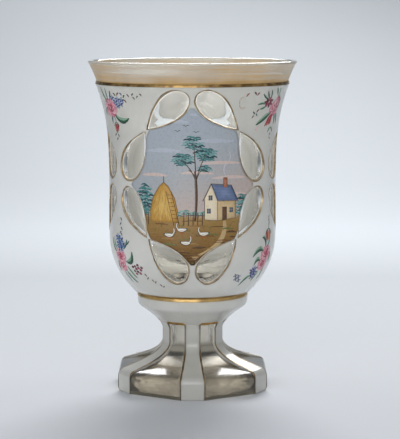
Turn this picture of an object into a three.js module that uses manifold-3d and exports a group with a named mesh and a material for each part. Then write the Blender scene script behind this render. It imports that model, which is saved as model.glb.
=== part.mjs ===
// A footed beaker of clear glass cased in white glass, cut through, gilded and enamelled.
// Millimetres, +Z up, origin on the table under the middle of the foot, painted side towards -Y.
import * as THREE from "three";
import { mergeVertices } from "three/addons/utils/BufferGeometryUtils.js";
import Module from "manifold-3d";

// Clear glass body: heights above the table and radii of its outside
const height = 140;
const rimRadius = 44.5;
const waistRadius = 34.7;
const flareStart = 99;
const domeTop = 66;
const domeDepth = 33.1;
const domeBottom = 42.6;
const collarTop = 41.4;
const collarRadius = 22.85;
const collarHeight = 6;
const collarUndercut = 1.55;
const collarShoulder = 1.5;
const collarGroove = 0.55;
const panelTop = 28.7;
const panelTopRadius = 13.4;
const stemRadius = 12.35;
const stemTop = 26.6;
const stemBottom = 20.5;
const footRadius = 32.8;
const footShoulder = 9.1;
const footEdgeRound = 2.4;

// Curves between those places, as shares of the way from one to the next
const footSlope = 0.17;
const footSweepOut = 0.35;
const footSweepUp = 0.28;
const stemSweepDown = 0.52;
const coneHollowOut = 0.44;
const coneHollowUp = 0.57;
const collarBulge = 0.33;

// Hollow of the bowl and of the underside
const wallThickness = 4.6;
const lipThickness = 2.8;
const bowlFloor = 48;
const pontilRadius = 20;
const pontilDepth = 1.4;

// White casing, fused over the clear glass
const casingThickness = 0.8;
const casingGap = 0.1;
const rimBand = 8.6;

// Six cased ribs on the stem and foot, with a cut panel between each two
const ribCount = 6;
const ribWidthAtStem = 6.9;
const ribWidthAtFoot = 10.8;
const ribLift = 0.4;
const panelScoop = 1.4;

// Windows cut through the casing round each of the three medallions
const medallionCount = 3;
const medallionTopMargin = 3.9;
const medallionBottomMargin = 9;
const topWindowRise = 15.2;
const bottomWindowRise = 17.4;
const junctionAngle = 31.4;
const topCrownAngle = 3.4;
const bottomCrownAngle = 5.4;
const sideAngle = 52.5;
const sideWindowGap = 4.6;
const topWindowWidth = 10.2;
const upperWindowWidth = 12.2;
const lowerWindowWidth = 10.6;
const bottomWindowWidth = 11.8;
const tipGap = 2.2;

// Gold and enamel lie on the glass as thin raised layers
const layerGap = 0.2;
const goldThickness = 0.15;
const ridgeHeight = 0.25;
const enamelThickness = 0.2;
const windowLineWidth = 0.8;
const windowLineMargin = 0.1;
const rimLineWidth = 1.4;
const collarBandBelow = 0.9;
const collarBandAbove = 0.5;
const panelLineWidth = 0.9;
const panelLineMargin = 0.15;
const lipBare = 0.9;
const paintingGap = 0.5;
const paintingSideInset = 7;
const paintingTipInset = 3;
const paintingJunctionInset = 2;

// Flower sprays in the white fields between the medallions
const roseRadius = 3.1;
const budRadius = 1.5;
const leafLength = 5;
const leafWidth = 2;
const stalkWidth = 0.7;
const sprigReach = 13;
const sprigLift = 3;
const sprigBend = 0.5;
const sprigDrop = 9.5;
const sprigLeafAngle = 40;
const hangingLeafAngle = 30;
const upperSprayDrop = 10.5;
const lowerSprayRise = 16.6;

// Under and upper side of each part of a spray, above the layer gap; they lie into one another
const roseLayer = [0, 0.5];
const budLayer = [0.04, 0.4];
const leafLayer = [0.08, 0.32];
const stalkLayer = [0.12, 0.24];

// Facets: six to each rib and panel round the axis, and the steps along each curve
const stepsPerRib = 6;
const ribSteps = 2;
const stations = ribCount * stepsPerRib;
const panelFractions = [0.1, 0.5, 0.9];
const footCurveSteps = 4;
const collarCurveSteps = 3;
const domeSteps = 5;
const flareSteps = 5;
const hollowFlareSteps = 4;
const hollowRoundSteps = 5;
const outlineSteps = 12;
const roseSides = 6;
const budSides = 5;
const stalkSteps = 2;
const toolReach = 8;
const weld = 1e-4;

const casingTop = height - rimBand;
const casingOffset = casingGap + casingThickness;
const lipRound = lipThickness / 3;

const wasm = await Module();
wasm.setup();

// Booleans

function solidOf(geometry) {
  const bare = new THREE.BufferGeometry();
  bare.setAttribute("position", geometry.getAttribute("position"));
  bare.setIndex(geometry.getIndex());
  const merged = mergeVertices(bare, weld);
  return new wasm.Manifold(
    new wasm.Mesh({
      numProp: 3,
      vertProperties: new Float32Array(merged.getAttribute("position").array),
      triVerts: new Uint32Array(merged.getIndex().array),
    }),
  );
}

function geometryOf(solid) {
  const mesh = solid.getMesh();
  const geometry = new THREE.BufferGeometry();
  geometry.setAttribute("position", new THREE.BufferAttribute(mesh.vertProperties, 3));
  geometry.setIndex(new THREE.BufferAttribute(mesh.triVerts, 1));
  return geometry;
}

// Collects corners and faces for the shapes that no geometry class makes
class Skin {
  constructor() {
    this.positions = [];
    this.faces = [];
  }

  add(point) {
    this.positions.push(point.x, point.y, point.z);
    return this.positions.length / 3 - 1;
  }

  triangle(a, b, c) {
    this.faces.push(a, b, c);
  }

  quad(a, b, c, d) {
    this.faces.push(a, b, c, a, c, d);
  }

  geometry() {
    const geometry = new THREE.BufferGeometry();
    geometry.setAttribute("position", new THREE.Float32BufferAttribute(this.positions, 3));
    geometry.setIndex(this.faces);
    return geometry;
  }
}

// Outline of the clear glass, as (radius, height) from the foot up

// Arc that leaves the vertical at (r0, z0) and opens out to (r1, z1)
function flareArc(r0, z0, r1, z1, steps) {
  const rise = z1 - z0;
  const spread = r1 - r0;
  const radius = (rise * rise + spread * spread) / (2 * spread);
  const turn = Math.asin(rise / radius);
  return Array.from({ length: steps }, (_, i) => {
    const a = (turn * (i + 1)) / steps;
    return new THREE.Vector2(r0 + radius * (1 - Math.cos(a)), z0 + radius * Math.sin(a));
  });
}

function footOutline() {
  const reach = footRadius - stemRadius;
  const rise = stemBottom - footShoulder;
  const path = new THREE.Path();
  path.moveTo(footRadius, 0);
  path.lineTo(footRadius, footShoulder - footEdgeRound);
  path.quadraticCurveTo(
    footRadius,
    footShoulder - footSlope * footEdgeRound,
    footRadius - footEdgeRound,
    footShoulder,
  );
  path.bezierCurveTo(
    stemRadius + footSweepOut * reach,
    footShoulder + footSweepUp * rise,
    stemRadius,
    footShoulder + stemSweepDown * rise,
    stemRadius,
    stemBottom,
  );
  return path.getPoints(footCurveSteps);
}

// Stem, cone under the collar, and the collar up to its shoulder
function collarOutline() {
  const lower = collarTop - collarHeight;
  const upper = collarTop - collarShoulder;
  const coneTop = collarRadius - collarUndercut;
  const path = new THREE.Path();
  path.moveTo(stemRadius, stemTop);
  path.lineTo(panelTopRadius, panelTop);
  path.quadraticCurveTo(
    panelTopRadius + coneHollowOut * (coneTop - panelTopRadius),
    panelTop + coneHollowUp * (lower - panelTop),
    coneTop,
    lower,
  );
  path.quadraticCurveTo(collarRadius, lower + collarBulge * (upper - lower), collarRadius, upper);
  return path.getPoints(collarCurveSteps);
}

function domeOutline() {
  const start = Math.asin((domeTop - domeBottom) / domeDepth);
  return Array.from({ length: domeSteps }, (_, i) => {
    const a = start * (1 - i / domeSteps);
    return new THREE.Vector2(waistRadius * Math.cos(a), domeTop - domeDepth * Math.sin(a));
  });
}

const footPoints = footOutline();
const collarPoints = collarOutline();
const outline = [
  ...footPoints,
  ...collarPoints,
  new THREE.Vector2(collarRadius - collarGroove, collarTop),
  ...domeOutline(),
  new THREE.Vector2(waistRadius, domeTop),
  new THREE.Vector2(waistRadius, flareStart),
  ...flareArc(waistRadius, flareStart, rimRadius, height, flareSteps),
];
const shoulderIndex = footPoints.length + collarPoints.length - 1;

// First section above the cut panels, which end at the second of the collar's points
const panelTopIndex = footPoints.length + 2;

// Outward normals of the outline, long enough at corners to keep an offset parallel
const outlineNormals = outline.map((point, i) => {
  const before = outline[Math.max(i - 1, 0)];
  const after = outline[Math.min(i + 1, outline.length - 1)];
  const normalOf = (a, b) => new THREE.Vector2(b.y - a.y, a.x - b.x).normalize();
  const first = i > 0 ? normalOf(before, point) : normalOf(point, after);
  const second = i < outline.length - 1 ? normalOf(point, after) : first;
  const middle = first.clone().add(second).normalize();
  return middle.divideScalar(middle.dot(first));
});

function offsetOutline(distance) {
  return outline.map((p, i) => p.clone().addScaledVector(outlineNormals[i], distance));
}

// Radius of an offset outline at a height, on the bowl and collar
function radiusAt(z, distance) {
  const points = offsetOutline(distance);
  for (let i = panelTopIndex; i < points.length - 1; i += 1) {
    const low = points[i];
    const high = points[i + 1];
    if (z <= high.y) return low.x + ((high.x - low.x) * (z - low.y)) / (high.y - low.y);
  }
  return points[points.length - 1].x;
}

// A place on the bowl: angle in degrees from the painted side, height, and distance off the glass
function onBowl(angle, z, distance) {
  const r = radiusAt(z, distance);
  const a = THREE.MathUtils.degToRad(angle);
  return new THREE.Vector3(r * Math.sin(a), -r * Math.cos(a), z);
}

// Cross-sections, all with the same stations: three on each rib and three on each panel

function ribHalfWidth(i) {
  const share = (outline[i].x - stemRadius) / (footRadius - stemRadius);
  return THREE.MathUtils.lerp(ribWidthAtStem, ribWidthAtFoot, THREE.MathUtils.clamp(share, 0, 1)) / 2;
}

function scoopDepth(i) {
  if (i >= footPoints.length) return 0;
  const share = (outline[i].x - stemRadius) / (footRadius - stemRadius);
  return panelScoop * Math.sin(Math.PI * Math.sqrt(share));
}

function turned(x, y, z, degrees) {
  const a = THREE.MathUtils.degToRad(degrees);
  return new THREE.Vector3(x * Math.cos(a) - y * Math.sin(a), x * Math.sin(a) + y * Math.cos(a), z);
}

function roundSection(r, z) {
  return Array.from({ length: stations }, (_, j) => turned(0, -r, z, ((j - ribSteps / 2) * 360) / stations));
}

function ribbedSection(i, distance) {
  const p = outline[i].clone().addScaledVector(outlineNormals[i], distance);
  const floor = p.clone().addScaledVector(outlineNormals[i], -scoopDepth(i));
  const half = ribHalfWidth(i);
  const pitch = 360 / ribCount;
  const points = [];
  for (let rib = 0; rib < ribCount; rib += 1) {
    for (let step = 0; step <= ribSteps; step += 1)
      points.push(turned(half * ((2 * step) / ribSteps - 1), -p.x, p.y, rib * pitch));
    const start = turned(half, -floor.x, floor.y, rib * pitch);
    const end = turned(-half, -floor.x, floor.y, (rib + 1) * pitch);
    for (const share of panelFractions) points.push(start.clone().lerp(end, share));
  }
  return points;
}

function section(i, distance) {
  if (i < panelTopIndex) return ribbedSection(i, distance);
  const p = outline[i].clone().addScaledVector(outlineNormals[i], distance);
  return roundSection(p.x, p.y);
}

// Clear glass body

// Closed skin through a stack of sections, with a point on the axis at either end
function loft(bottom, sections, top) {
  const skin = new Skin();
  const first = skin.add(bottom);
  const rows = sections.map((points) => points.map((p) => skin.add(p)));
  const last = skin.add(top);
  for (let j = 0; j < stations; j += 1) {
    const k = (j + 1) % stations;
    skin.triangle(first, rows[0][k], rows[0][j]);
    for (let i = 0; i < rows.length - 1; i += 1)
      skin.quad(rows[i][j], rows[i][k], rows[i + 1][k], rows[i + 1][j]);
    skin.triangle(rows[rows.length - 1][j], rows[rows.length - 1][k], last);
  }
  return skin.geometry();
}

function hollowSections() {
  const waist = waistRadius - wallThickness;
  const lip = rimRadius - lipThickness;
  const depth = domeTop - bowlFloor;
  const flare = flareArc(waist, flareStart, lip, height - lipRound, hollowFlareSteps).reverse();
  const bowl = Array.from({ length: hollowRoundSteps }, (_, i) => {
    const a = (i / hollowRoundSteps) * (Math.PI / 2);
    return new THREE.Vector2(waist * Math.cos(a), domeTop - depth * Math.sin(a));
  });
  return [
    new THREE.Vector2(rimRadius - lipThickness / 2, height),
    ...flare,
    new THREE.Vector2(waist, flareStart),
    ...bowl,
  ].map((p) => roundSection(p.x, p.y));
}

function outsideSections() {
  const lipStart = height - lipRound;
  const sections = outline.map((_, i) => section(i, 0));
  sections[sections.length - 1] = roundSection(radiusAt(lipStart, 0), lipStart);
  return sections;
}

// Ground dish under the foot, deepest on the axis
function pontilSection(share) {
  return roundSection(pontilRadius * share, pontilDepth * (1 - share * share));
}

function clearBody() {
  const underside = [pontilSection(0.5), pontilSection(1)];
  return loft(
    new THREE.Vector3(0, 0, pontilDepth),
    [...underside, ...outsideSections(), ...hollowSections()],
    new THREE.Vector3(0, 0, bowlFloor),
  );
}

// Windows

// Half of the height of a drop, from its tip at 0 to its round end at pi
function dropShape(t) {
  const peak = 4 / (3 * Math.sqrt(3));
  return (Math.sin(t) * Math.sin(t / 2)) / peak;
}

const medallionTop = casingTop - medallionTopMargin;
const medallionBottom = collarTop + medallionBottomMargin;
const upperJunction = medallionTop - topWindowRise;
const lowerJunction = medallionBottom + bottomWindowRise;
const middle = (upperJunction + lowerJunction) / 2;
const degreesPerMillimetre = THREE.MathUtils.radToDeg(1 / (waistRadius + casingOffset));
const tipStep = (tipGap / 2) * Math.SQRT1_2;

const windows = [
  {
    name: "top",
    tip: [junctionAngle - tipStep * degreesPerMillimetre, upperJunction + tipStep],
    end: [topCrownAngle, medallionTop],
    width: topWindowWidth,
  },
  {
    name: "upper",
    tip: [junctionAngle + tipStep * degreesPerMillimetre, upperJunction - tipStep],
    end: [sideAngle, middle + sideWindowGap / 2],
    width: upperWindowWidth,
  },
  {
    name: "lower",
    tip: [junctionAngle + tipStep * degreesPerMillimetre, lowerJunction + tipStep],
    end: [sideAngle, middle - sideWindowGap / 2],
    width: lowerWindowWidth,
  },
  {
    name: "bottom",
    tip: [junctionAngle - tipStep * degreesPerMillimetre, lowerJunction - tipStep],
    end: [bottomCrownAngle, medallionBottom],
    width: bottomWindowWidth,
  },
];

// Angles and heights round a window, or round the line that is grown outside it
function windowOutline(window, side, turn, grow) {
  const across = (window.end[0] - window.tip[0]) / degreesPerMillimetre;
  const up = window.end[1] - window.tip[1];
  const length = Math.hypot(across, up);
  const along = new THREE.Vector2(across, up).divideScalar(length);
  const sideways = new THREE.Vector2(-along.y, along.x);
  const points = Array.from({ length: outlineSteps }, (_, i) => {
    const t = (2 * Math.PI * i) / outlineSteps;
    const x = ((length + 2 * grow) * (1 - Math.cos(t))) / 2 - grow;
    const y = (window.width / 2 + grow) * dropShape(t);
    const p = along.clone().multiplyScalar(x).addScaledVector(sideways, y);
    return [turn + side * (window.tip[0] + p.x * degreesPerMillimetre), window.tip[1] + p.y];
  });
  const area = THREE.ShapeUtils.area(points.map(([a, z]) => new THREE.Vector2(a, z)));
  return area > 0 ? points : points.reverse();
}

// Cutting tool through the casing and what lies on it
function windowTool(points) {
  const skin = new Skin();
  const angle = points.reduce((sum, p) => sum + p[0], 0) / points.length;
  const z = points.reduce((sum, p) => sum + p[1], 0) / points.length;
  const inner = points.map((p) => skin.add(onBowl(p[0], p[1], -toolReach)));
  const outer = points.map((p) => skin.add(onBowl(p[0], p[1], toolReach)));
  const innerMiddle = skin.add(onBowl(angle, z, -toolReach));
  const outerMiddle = skin.add(onBowl(angle, z, toolReach));
  points.forEach((_, i) => {
    const k = (i + 1) % points.length;
    skin.triangle(innerMiddle, inner[k], inner[i]);
    skin.quad(inner[i], inner[k], outer[k], outer[i]);
    skin.triangle(outer[i], outer[k], outerMiddle);
  });
  return skin.geometry();
}

function everyWindow(make) {
  for (let m = 0; m < medallionCount; m += 1)
    for (const window of windows)
      for (const side of [-1, 1]) make(window, side, (m * 360) / medallionCount, m);
}

// White casing: a shell over the whole outside that leaves the panels of the foot open
function casingShell() {
  const heightOf = (i) => outline[i].y + outlineNormals[i].y * casingOffset;
  const rows = outline.map((_, i) => i).filter((i) => heightOf(i) < casingTop);
  const innerRows = rows.map((i) => section(i, casingGap));
  const outerRows = rows.map((i) => section(i, casingOffset));
  innerRows.push(roundSection(radiusAt(casingTop, casingGap), casingTop));
  outerRows.push(roundSection(radiusAt(casingTop, casingOffset), casingTop));
  innerRows[0].forEach((p) => p.setZ(ribLift));
  outerRows[0].forEach((p) => p.setZ(ribLift));
  const last = rows.length;
  const cased = (i, j) => {
    if (i < 0 || i >= last) return false;
    return i >= panelTopIndex - 1 || j % stepsPerRib < ribSteps;
  };
  const skin = new Skin();
  const used = (points, row) => points.map((p, j) => {
    const before = (j + stations - 1) % stations;
    const needed = [row - 1, row].some((i) => cased(i, j) || cased(i, before));
    return needed ? skin.add(p) : -1;
  });
  const inner = innerRows.map(used);
  const outer = outerRows.map(used);
  for (let i = 0; i < last; i += 1)
    for (let j = 0; j < stations; j += 1) {
      if (!cased(i, j)) continue;
      const k = (j + 1) % stations;
      skin.quad(outer[i][j], outer[i][k], outer[i + 1][k], outer[i + 1][j]);
      skin.quad(inner[i][j], inner[i + 1][j], inner[i + 1][k], inner[i][k]);
      if (!cased(i - 1, j)) skin.quad(inner[i][j], inner[i][k], outer[i][k], outer[i][j]);
      if (!cased(i + 1, j))
        skin.quad(outer[i + 1][j], outer[i + 1][k], inner[i + 1][k], inner[i + 1][j]);
      if (!cased(i, (j + stations - 1) % stations))
        skin.quad(inner[i][j], outer[i][j], outer[i + 1][j], inner[i + 1][j]);
      if (!cased(i, k)) skin.quad(outer[i][k], inner[i][k], inner[i + 1][k], outer[i + 1][k]);
    }
  return skin.geometry();
}

// Layers that lie on the surface

// Gold line with a low ridge along its middle, through pairs of edge points, each with the way
// out of the surface that it lies on
function raisedLine(pairs, closed) {
  const skin = new Skin();
  const rows = pairs.map(({ a, b, out }) => [
    skin.add(a.clone().addScaledVector(out, layerGap)),
    skin.add(b.clone().addScaledVector(out, layerGap)),
    skin.add(a.clone().lerp(b, 0.5).addScaledVector(out, layerGap + ridgeHeight)),
  ]);
  const links = closed ? rows.length : rows.length - 1;
  for (let i = 0; i < links; i += 1) {
    const here = rows[i];
    const next = rows[(i + 1) % rows.length];
    for (let e = 0; e < 3; e += 1) skin.quad(here[e], next[e], next[(e + 1) % 3], here[(e + 1) % 3]);
  }
  if (!closed) {
    const end = rows[rows.length - 1];
    skin.triangle(...rows[0]);
    skin.triangle(end[2], end[1], end[0]);
  }
  return skin.geometry();
}

// Way out of the casing at a place on the bowl
function outOfBowl(angle, z) {
  const step = 0.5;
  const slope = (radiusAt(z + step, casingOffset) - radiusAt(z - step, casingOffset)) / (2 * step);
  return turned(0, -1, -slope, angle).normalize();
}

function windowLine(window, side, turn) {
  const inner = windowOutline(window, side, turn, windowLineMargin);
  const outer = windowOutline(window, side, turn, windowLineMargin + windowLineWidth);
  const pairs = inner.map((p, i) => ({
    a: onBowl(p[0], p[1], casingOffset),
    b: onBowl(outer[i][0], outer[i][1], casingOffset),
    out: outOfBowl(p[0], p[1]),
  }));
  return raisedLine(pairs, true);
}

// Thin ring that follows the outside through the given heights, from the lowest up
function layerRing(heights, distance, thickness) {
  const at = (z, off) => new THREE.Vector2(radiusAt(z, distance + layerGap + off), z);
  const under = heights.map((z) => at(z, 0));
  const over = heights.map((z) => at(z, thickness)).reverse();
  const ring = new THREE.LatheGeometry([...over, ...under, over[0].clone()].reverse(), stations);
  ring.deleteAttribute("normal");
  ring.deleteAttribute("uv");
  return mergeVertices(ring.rotateX(Math.PI / 2), weld);
}

// Gold band round the glass between two heights, on the surface at the given distance
function goldBand(low, high, distance, steps) {
  const heights = Array.from({ length: steps + 1 }, (_, i) => THREE.MathUtils.lerp(low, high, i / steps));
  return layerRing(heights, distance, goldThickness);
}

// Gold line up one side of a cut panel, over its top and down the other side
function panelLine(panel) {
  const pitch = 360 / ribCount;
  const near = panelLineMargin;
  const far = panelLineMargin + panelLineWidth;
  const onRib = (i, inset, side, rib) => {
    const p = outline[i].clone().addScaledVector(outlineNormals[i], casingOffset);
    const z = Math.max(p.y, ribLift + panelLineMargin);
    return turned(side * (ribHalfWidth(i) - inset), -p.x, z, rib * pitch);
  };
  const out = (i, rib) => turned(0, -outlineNormals[i].x, outlineNormals[i].y, rib * pitch).normalize();
  const up = Array.from({ length: panelTopIndex }, (_, i) => ({
    a: onRib(i, far, 1, panel),
    b: onRib(i, near, 1, panel),
    out: out(i, panel),
  }));
  const down = Array.from({ length: panelTopIndex }, (_, n) => {
    const i = panelTopIndex - 1 - n;
    return { a: onRib(i, far, -1, panel + 1), b: onRib(i, near, -1, panel + 1), out: out(i, panel + 1) };
  });
  const edge = section(panelTopIndex - 1, casingOffset);
  const above = section(panelTopIndex, casingOffset);
  const across = Array.from({ length: stepsPerRib - ribSteps + 1 }, (_, n) => {
    const j = (panel * stepsPerRib + ribSteps + n) % stations;
    const rise = above[j].z - edge[j].z;
    return {
      a: edge[j].clone().lerp(above[j], far / rise),
      b: edge[j].clone().lerp(above[j], near / rise),
      out: out(panelTopIndex, (panel * stepsPerRib + ribSteps / 2 + n) / stepsPerRib),
    };
  });
  return raisedLine([...up, ...across, ...down], false);
}

// Painted field inside the front ring of windows
function paintedField() {
  const side = sideAngle - paintingSideInset;
  const junction = junctionAngle - paintingJunctionInset;
  const corners = [
    [0, medallionBottom + paintingTipInset],
    [junction, lowerJunction],
    [side, middle],
    [junction, upperJunction],
    [0, medallionTop - paintingTipInset],
    [-junction, upperJunction],
    [-side, middle],
    [-junction, lowerJunction],
  ];
  const heights = [medallionBottom, ...outline.map((p) => p.y), medallionTop].filter(
    (z) => z >= medallionBottom && z <= medallionTop,
  );
  const layer = layerRing(heights, casingOffset, enamelThickness);
  let field = solidOf(layer).intersect(solidOf(windowTool(corners)));
  const grow = windowLineMargin + windowLineWidth + paintingGap;
  for (const window of windows)
    for (const edge of [-1, 1])
      field = field.subtract(solidOf(windowTool(windowOutline(window, edge, 0, grow))));
  return geometryOf(field);
}

// Enamel shape with an outline of (across, up) points about a place on the bowl, between two heights
function enamelPatch(centre, points, low, high) {
  const place = ([x, y], distance) =>
    onBowl(centre[0] + x * degreesPerMillimetre, centre[1] + y, casingOffset + layerGap + distance);
  const mean = (axis) => points.reduce((sum, p) => sum + p[axis], 0) / points.length;
  const skin = new Skin();
  const under = points.map((p) => skin.add(place(p, low)));
  const over = points.map((p) => skin.add(place(p, high)));
  const underMiddle = skin.add(place([mean(0), mean(1)], low));
  const overMiddle = skin.add(place([mean(0), mean(1)], high));
  points.forEach((_, i) => {
    const k = (i + 1) % points.length;
    skin.triangle(underMiddle, under[k], under[i]);
    skin.quad(under[i], under[k], over[k], over[i]);
    skin.triangle(over[i], over[k], overMiddle);
  });
  return solidOf(skin.geometry());
}

function disc(x, y, radius, sides) {
  return Array.from({ length: sides }, (_, i) => {
    const a = (2 * Math.PI * i) / sides;
    return [x + radius * Math.cos(a), y + radius * Math.sin(a)];
  });
}

function leaf(x, y, degrees) {
  const a = THREE.MathUtils.degToRad(degrees);
  const shape = [
    [0, 0],
    [0.5, -0.5],
    [1, 0],
    [0.5, 0.5],
  ];
  return shape.map(([u, v]) => [
    x + u * leafLength * Math.cos(a) - v * leafWidth * Math.sin(a),
    y + u * leafLength * Math.sin(a) + v * leafWidth * Math.cos(a),
  ]);
}

function bentLine(from, bend, to) {
  return new THREE.QuadraticBezierCurve(
    new THREE.Vector2(...from),
    new THREE.Vector2(...bend),
    new THREE.Vector2(...to),
  );
}

function stalk(curve) {
  const points = Array.from({ length: stalkSteps + 1 }, (_, i) => curve.getPoint(i / stalkSteps));
  const normals = points.map((_, i) => {
    const t = curve.getTangent(i / stalkSteps);
    return new THREE.Vector2(-t.y, t.x).multiplyScalar(stalkWidth / 2);
  });
  const right = points.map((p, i) => p.clone().sub(normals[i]).toArray());
  const left = points.map((p, i) => p.clone().add(normals[i]).toArray());
  return [...right, ...left.reverse()];
}

// Rose with a sprig to either side and one towards the waist; drift is -1 for down and 1 for up
function spray(angle, z, drift) {
  const tail = drift * sprigDrop;
  const lift = -drift * sprigLift;
  const hanging = bentLine([0, 0], [drift, tail / 2], [0, tail]);
  const rightLeaf = drift * hangingLeafAngle;
  const leftLeaf = drift * (180 - hangingLeafAngle);
  const shapes = [
    [disc(0, 0, roseRadius, roseSides), roseLayer],
    [disc(0, tail, budRadius, budSides), budLayer],
    [stalk(hanging), stalkLayer],
    [leaf(...hanging.getPoint(0.5).toArray(), rightLeaf), leafLayer],
    [leaf(...hanging.getPoint(0.75).toArray(), leftLeaf), leafLayer],
  ];
  for (const side of [-1, 1]) {
    const reach = side * sprigReach;
    const sprig = bentLine([0, 0], [reach / 2, lift - drift * sprigBend], [reach, lift]);
    const lean = side > 0 ? -drift * sprigLeafAngle : 180 + drift * sprigLeafAngle;
    shapes.push([stalk(sprig), stalkLayer]);
    shapes.push([disc(reach, lift, budRadius, budSides), budLayer]);
    shapes.push([leaf(...sprig.getPoint(0.5).toArray(), lean), leafLayer]);
  }
  const solids = shapes.map(([points, heights]) => {
    const turning = THREE.ShapeUtils.area(points.map((p) => new THREE.Vector2(...p)));
    return enamelPatch([angle, z], turning > 0 ? points : points.reverse(), ...heights);
  });
  return geometryOf(solids.reduce((whole, solid) => whole.add(solid)));
}

// Materials

const glass = new THREE.MeshStandardMaterial({ color: 0xe4e6e2, roughness: 0.03, metalness: 0 });
const casingWhite = new THREE.MeshStandardMaterial({ color: 0xd9dcd6, roughness: 0.12, metalness: 0 });
const wornGold = new THREE.MeshStandardMaterial({ color: 0xc9a77c, roughness: 0.4, metalness: 0.7 });
const brightGold = new THREE.MeshStandardMaterial({ color: 0xb58f4c, roughness: 0.25, metalness: 1 });
const lineGold = new THREE.MeshStandardMaterial({ color: 0x9c7c4e, roughness: 0.35, metalness: 0.9 });
const paintedEnamel = new THREE.MeshStandardMaterial({ color: 0xa3a7b4, roughness: 0.3, metalness: 0 });
const flowerEnamel = new THREE.MeshStandardMaterial({ color: 0xc0607a, roughness: 0.3, metalness: 0 });

// The beaker

const beaker = new THREE.Group();

function piece(name, geometry, material) {
  const mesh = new THREE.Mesh(geometry, material);
  mesh.name = name;
  beaker.add(mesh);
}

let casing = solidOf(casingShell());
everyWindow((window, side, turn) => {
  const tool = solidOf(windowTool(windowOutline(window, side, turn, 0)));
  casing = casing.subtract(tool);
});
piece("crystal_body", clearBody(), glass);
piece("white_casing", geometryOf(casing), casingWhite);

const rimGildingLow = casingTop + 2 * layerGap;
piece("rim_gilding", goldBand(rimGildingLow, height - lipBare, 0, 2), wornGold);
piece("rim_gold_line", goldBand(casingTop - rimLineWidth, casingTop, casingOffset, 1), lineGold);
const shoulder = offsetOutline(casingOffset + layerGap)[shoulderIndex].y;
const bandHeights = [shoulder - collarBandBelow, shoulder, shoulder + collarBandAbove];
piece("collar_gold_band", layerRing(bandHeights, casingOffset, goldThickness), brightGold);

const medallionNames = ["front", "right", "left"];
everyWindow((window, side, turn, m) => {
  const hand = side < 0 ? "a" : "b";
  piece(`window_line_${medallionNames[m]}_${window.name}_${hand}`, windowLine(window, side, turn), lineGold);
});

for (let panel = 0; panel < ribCount; panel += 1)
  piece(`foot_panel_line_${panel + 1}`, panelLine(panel), lineGold);

piece("painted_scene", paintedField(), paintedEnamel);

const fieldNames = ["right", "back", "left"];
fieldNames.forEach((name, i) => {
  const angle = ((i + 0.5) * 360) / medallionCount;
  piece(`flower_spray_${name}_upper`, spray(angle, casingTop - upperSprayDrop, -1), flowerEnamel);
  piece(`flower_spray_${name}_lower`, spray(angle, collarTop + lowerSprayRise, 1), flowerEnamel);
});

export default beaker;
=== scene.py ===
# %% [markdown]
# # A footed beaker of cased glass
# The real object is blown in clear glass, dipped in white glass, cut through, gilded and painted.
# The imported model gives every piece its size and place. This file rebuilds each one finely enough
# for light to bend in it, and gives it the finish of glass, gold or enamel.

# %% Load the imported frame
import bisect
import functools
import math

import bmesh
import bpy
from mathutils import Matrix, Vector, noise
from mathutils.geometry import intersect_line_line_2d


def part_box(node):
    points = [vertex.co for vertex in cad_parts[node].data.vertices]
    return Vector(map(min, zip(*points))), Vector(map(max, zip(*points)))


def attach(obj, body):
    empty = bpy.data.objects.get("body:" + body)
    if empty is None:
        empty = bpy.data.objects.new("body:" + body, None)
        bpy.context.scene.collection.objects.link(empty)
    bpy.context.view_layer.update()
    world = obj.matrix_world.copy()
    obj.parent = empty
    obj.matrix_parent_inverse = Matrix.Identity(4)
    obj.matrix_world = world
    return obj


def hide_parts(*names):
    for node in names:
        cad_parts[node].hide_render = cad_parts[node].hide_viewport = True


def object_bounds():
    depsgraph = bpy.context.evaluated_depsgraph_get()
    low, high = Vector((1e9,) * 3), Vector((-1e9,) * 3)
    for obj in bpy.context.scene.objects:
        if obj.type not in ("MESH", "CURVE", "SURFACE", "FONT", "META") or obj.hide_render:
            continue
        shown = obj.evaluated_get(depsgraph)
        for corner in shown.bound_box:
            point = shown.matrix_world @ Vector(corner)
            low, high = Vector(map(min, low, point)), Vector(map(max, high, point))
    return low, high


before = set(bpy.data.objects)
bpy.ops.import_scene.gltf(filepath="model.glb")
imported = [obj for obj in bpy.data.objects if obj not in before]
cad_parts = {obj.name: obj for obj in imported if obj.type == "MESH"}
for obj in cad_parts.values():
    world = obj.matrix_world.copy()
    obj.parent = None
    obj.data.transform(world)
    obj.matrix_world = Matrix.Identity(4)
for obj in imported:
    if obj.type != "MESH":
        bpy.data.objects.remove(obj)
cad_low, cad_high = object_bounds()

print("packed model", [round(1000 * (b - a), 2) for a, b in zip(cad_low, cad_high)], "mm")

# %% [markdown]
# ## The camera first
# A camera fitted to the ellipses of the lip, the collar and the foot stands 0.73 m away and looks
# seven degrees down. It comes first, because it decides which small things are worth making.

# %% Camera
FRAME_HEIGHT_PX = 439
FOCAL_PX = 1715.7
SENSOR_MM = 36
CAMERA_PLACE = (0, -0.7316, 0.1611)
DOWN_DEGREES = 6.954
TURN_DEGREES = -0.252
camera_data = bpy.data.cameras.new("studio_camera")
camera_data.sensor_width = SENSOR_MM
camera_data.lens = FOCAL_PX / FRAME_HEIGHT_PX * SENSOR_MM
camera = bpy.data.objects.new("studio_camera", camera_data)
camera.location = CAMERA_PLACE
camera.rotation_euler = (math.radians(90 - DOWN_DEGREES), 0, math.radians(TURN_DEGREES))
bpy.context.scene.collection.objects.link(camera)
bpy.context.scene.camera = camera
print("lens", round(camera_data.lens, 1), "mm")

# %% [markdown]
# ## The outline of the clear glass
# Everything on the beaker follows one outline: radius and height of the clear glass, from the foot
# to the lip. The casing is the same outline moved out, and gold and enamel lie on the casing. So
# the outline is written once, as arcs and curves, and the rest asks for it at a distance.

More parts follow.
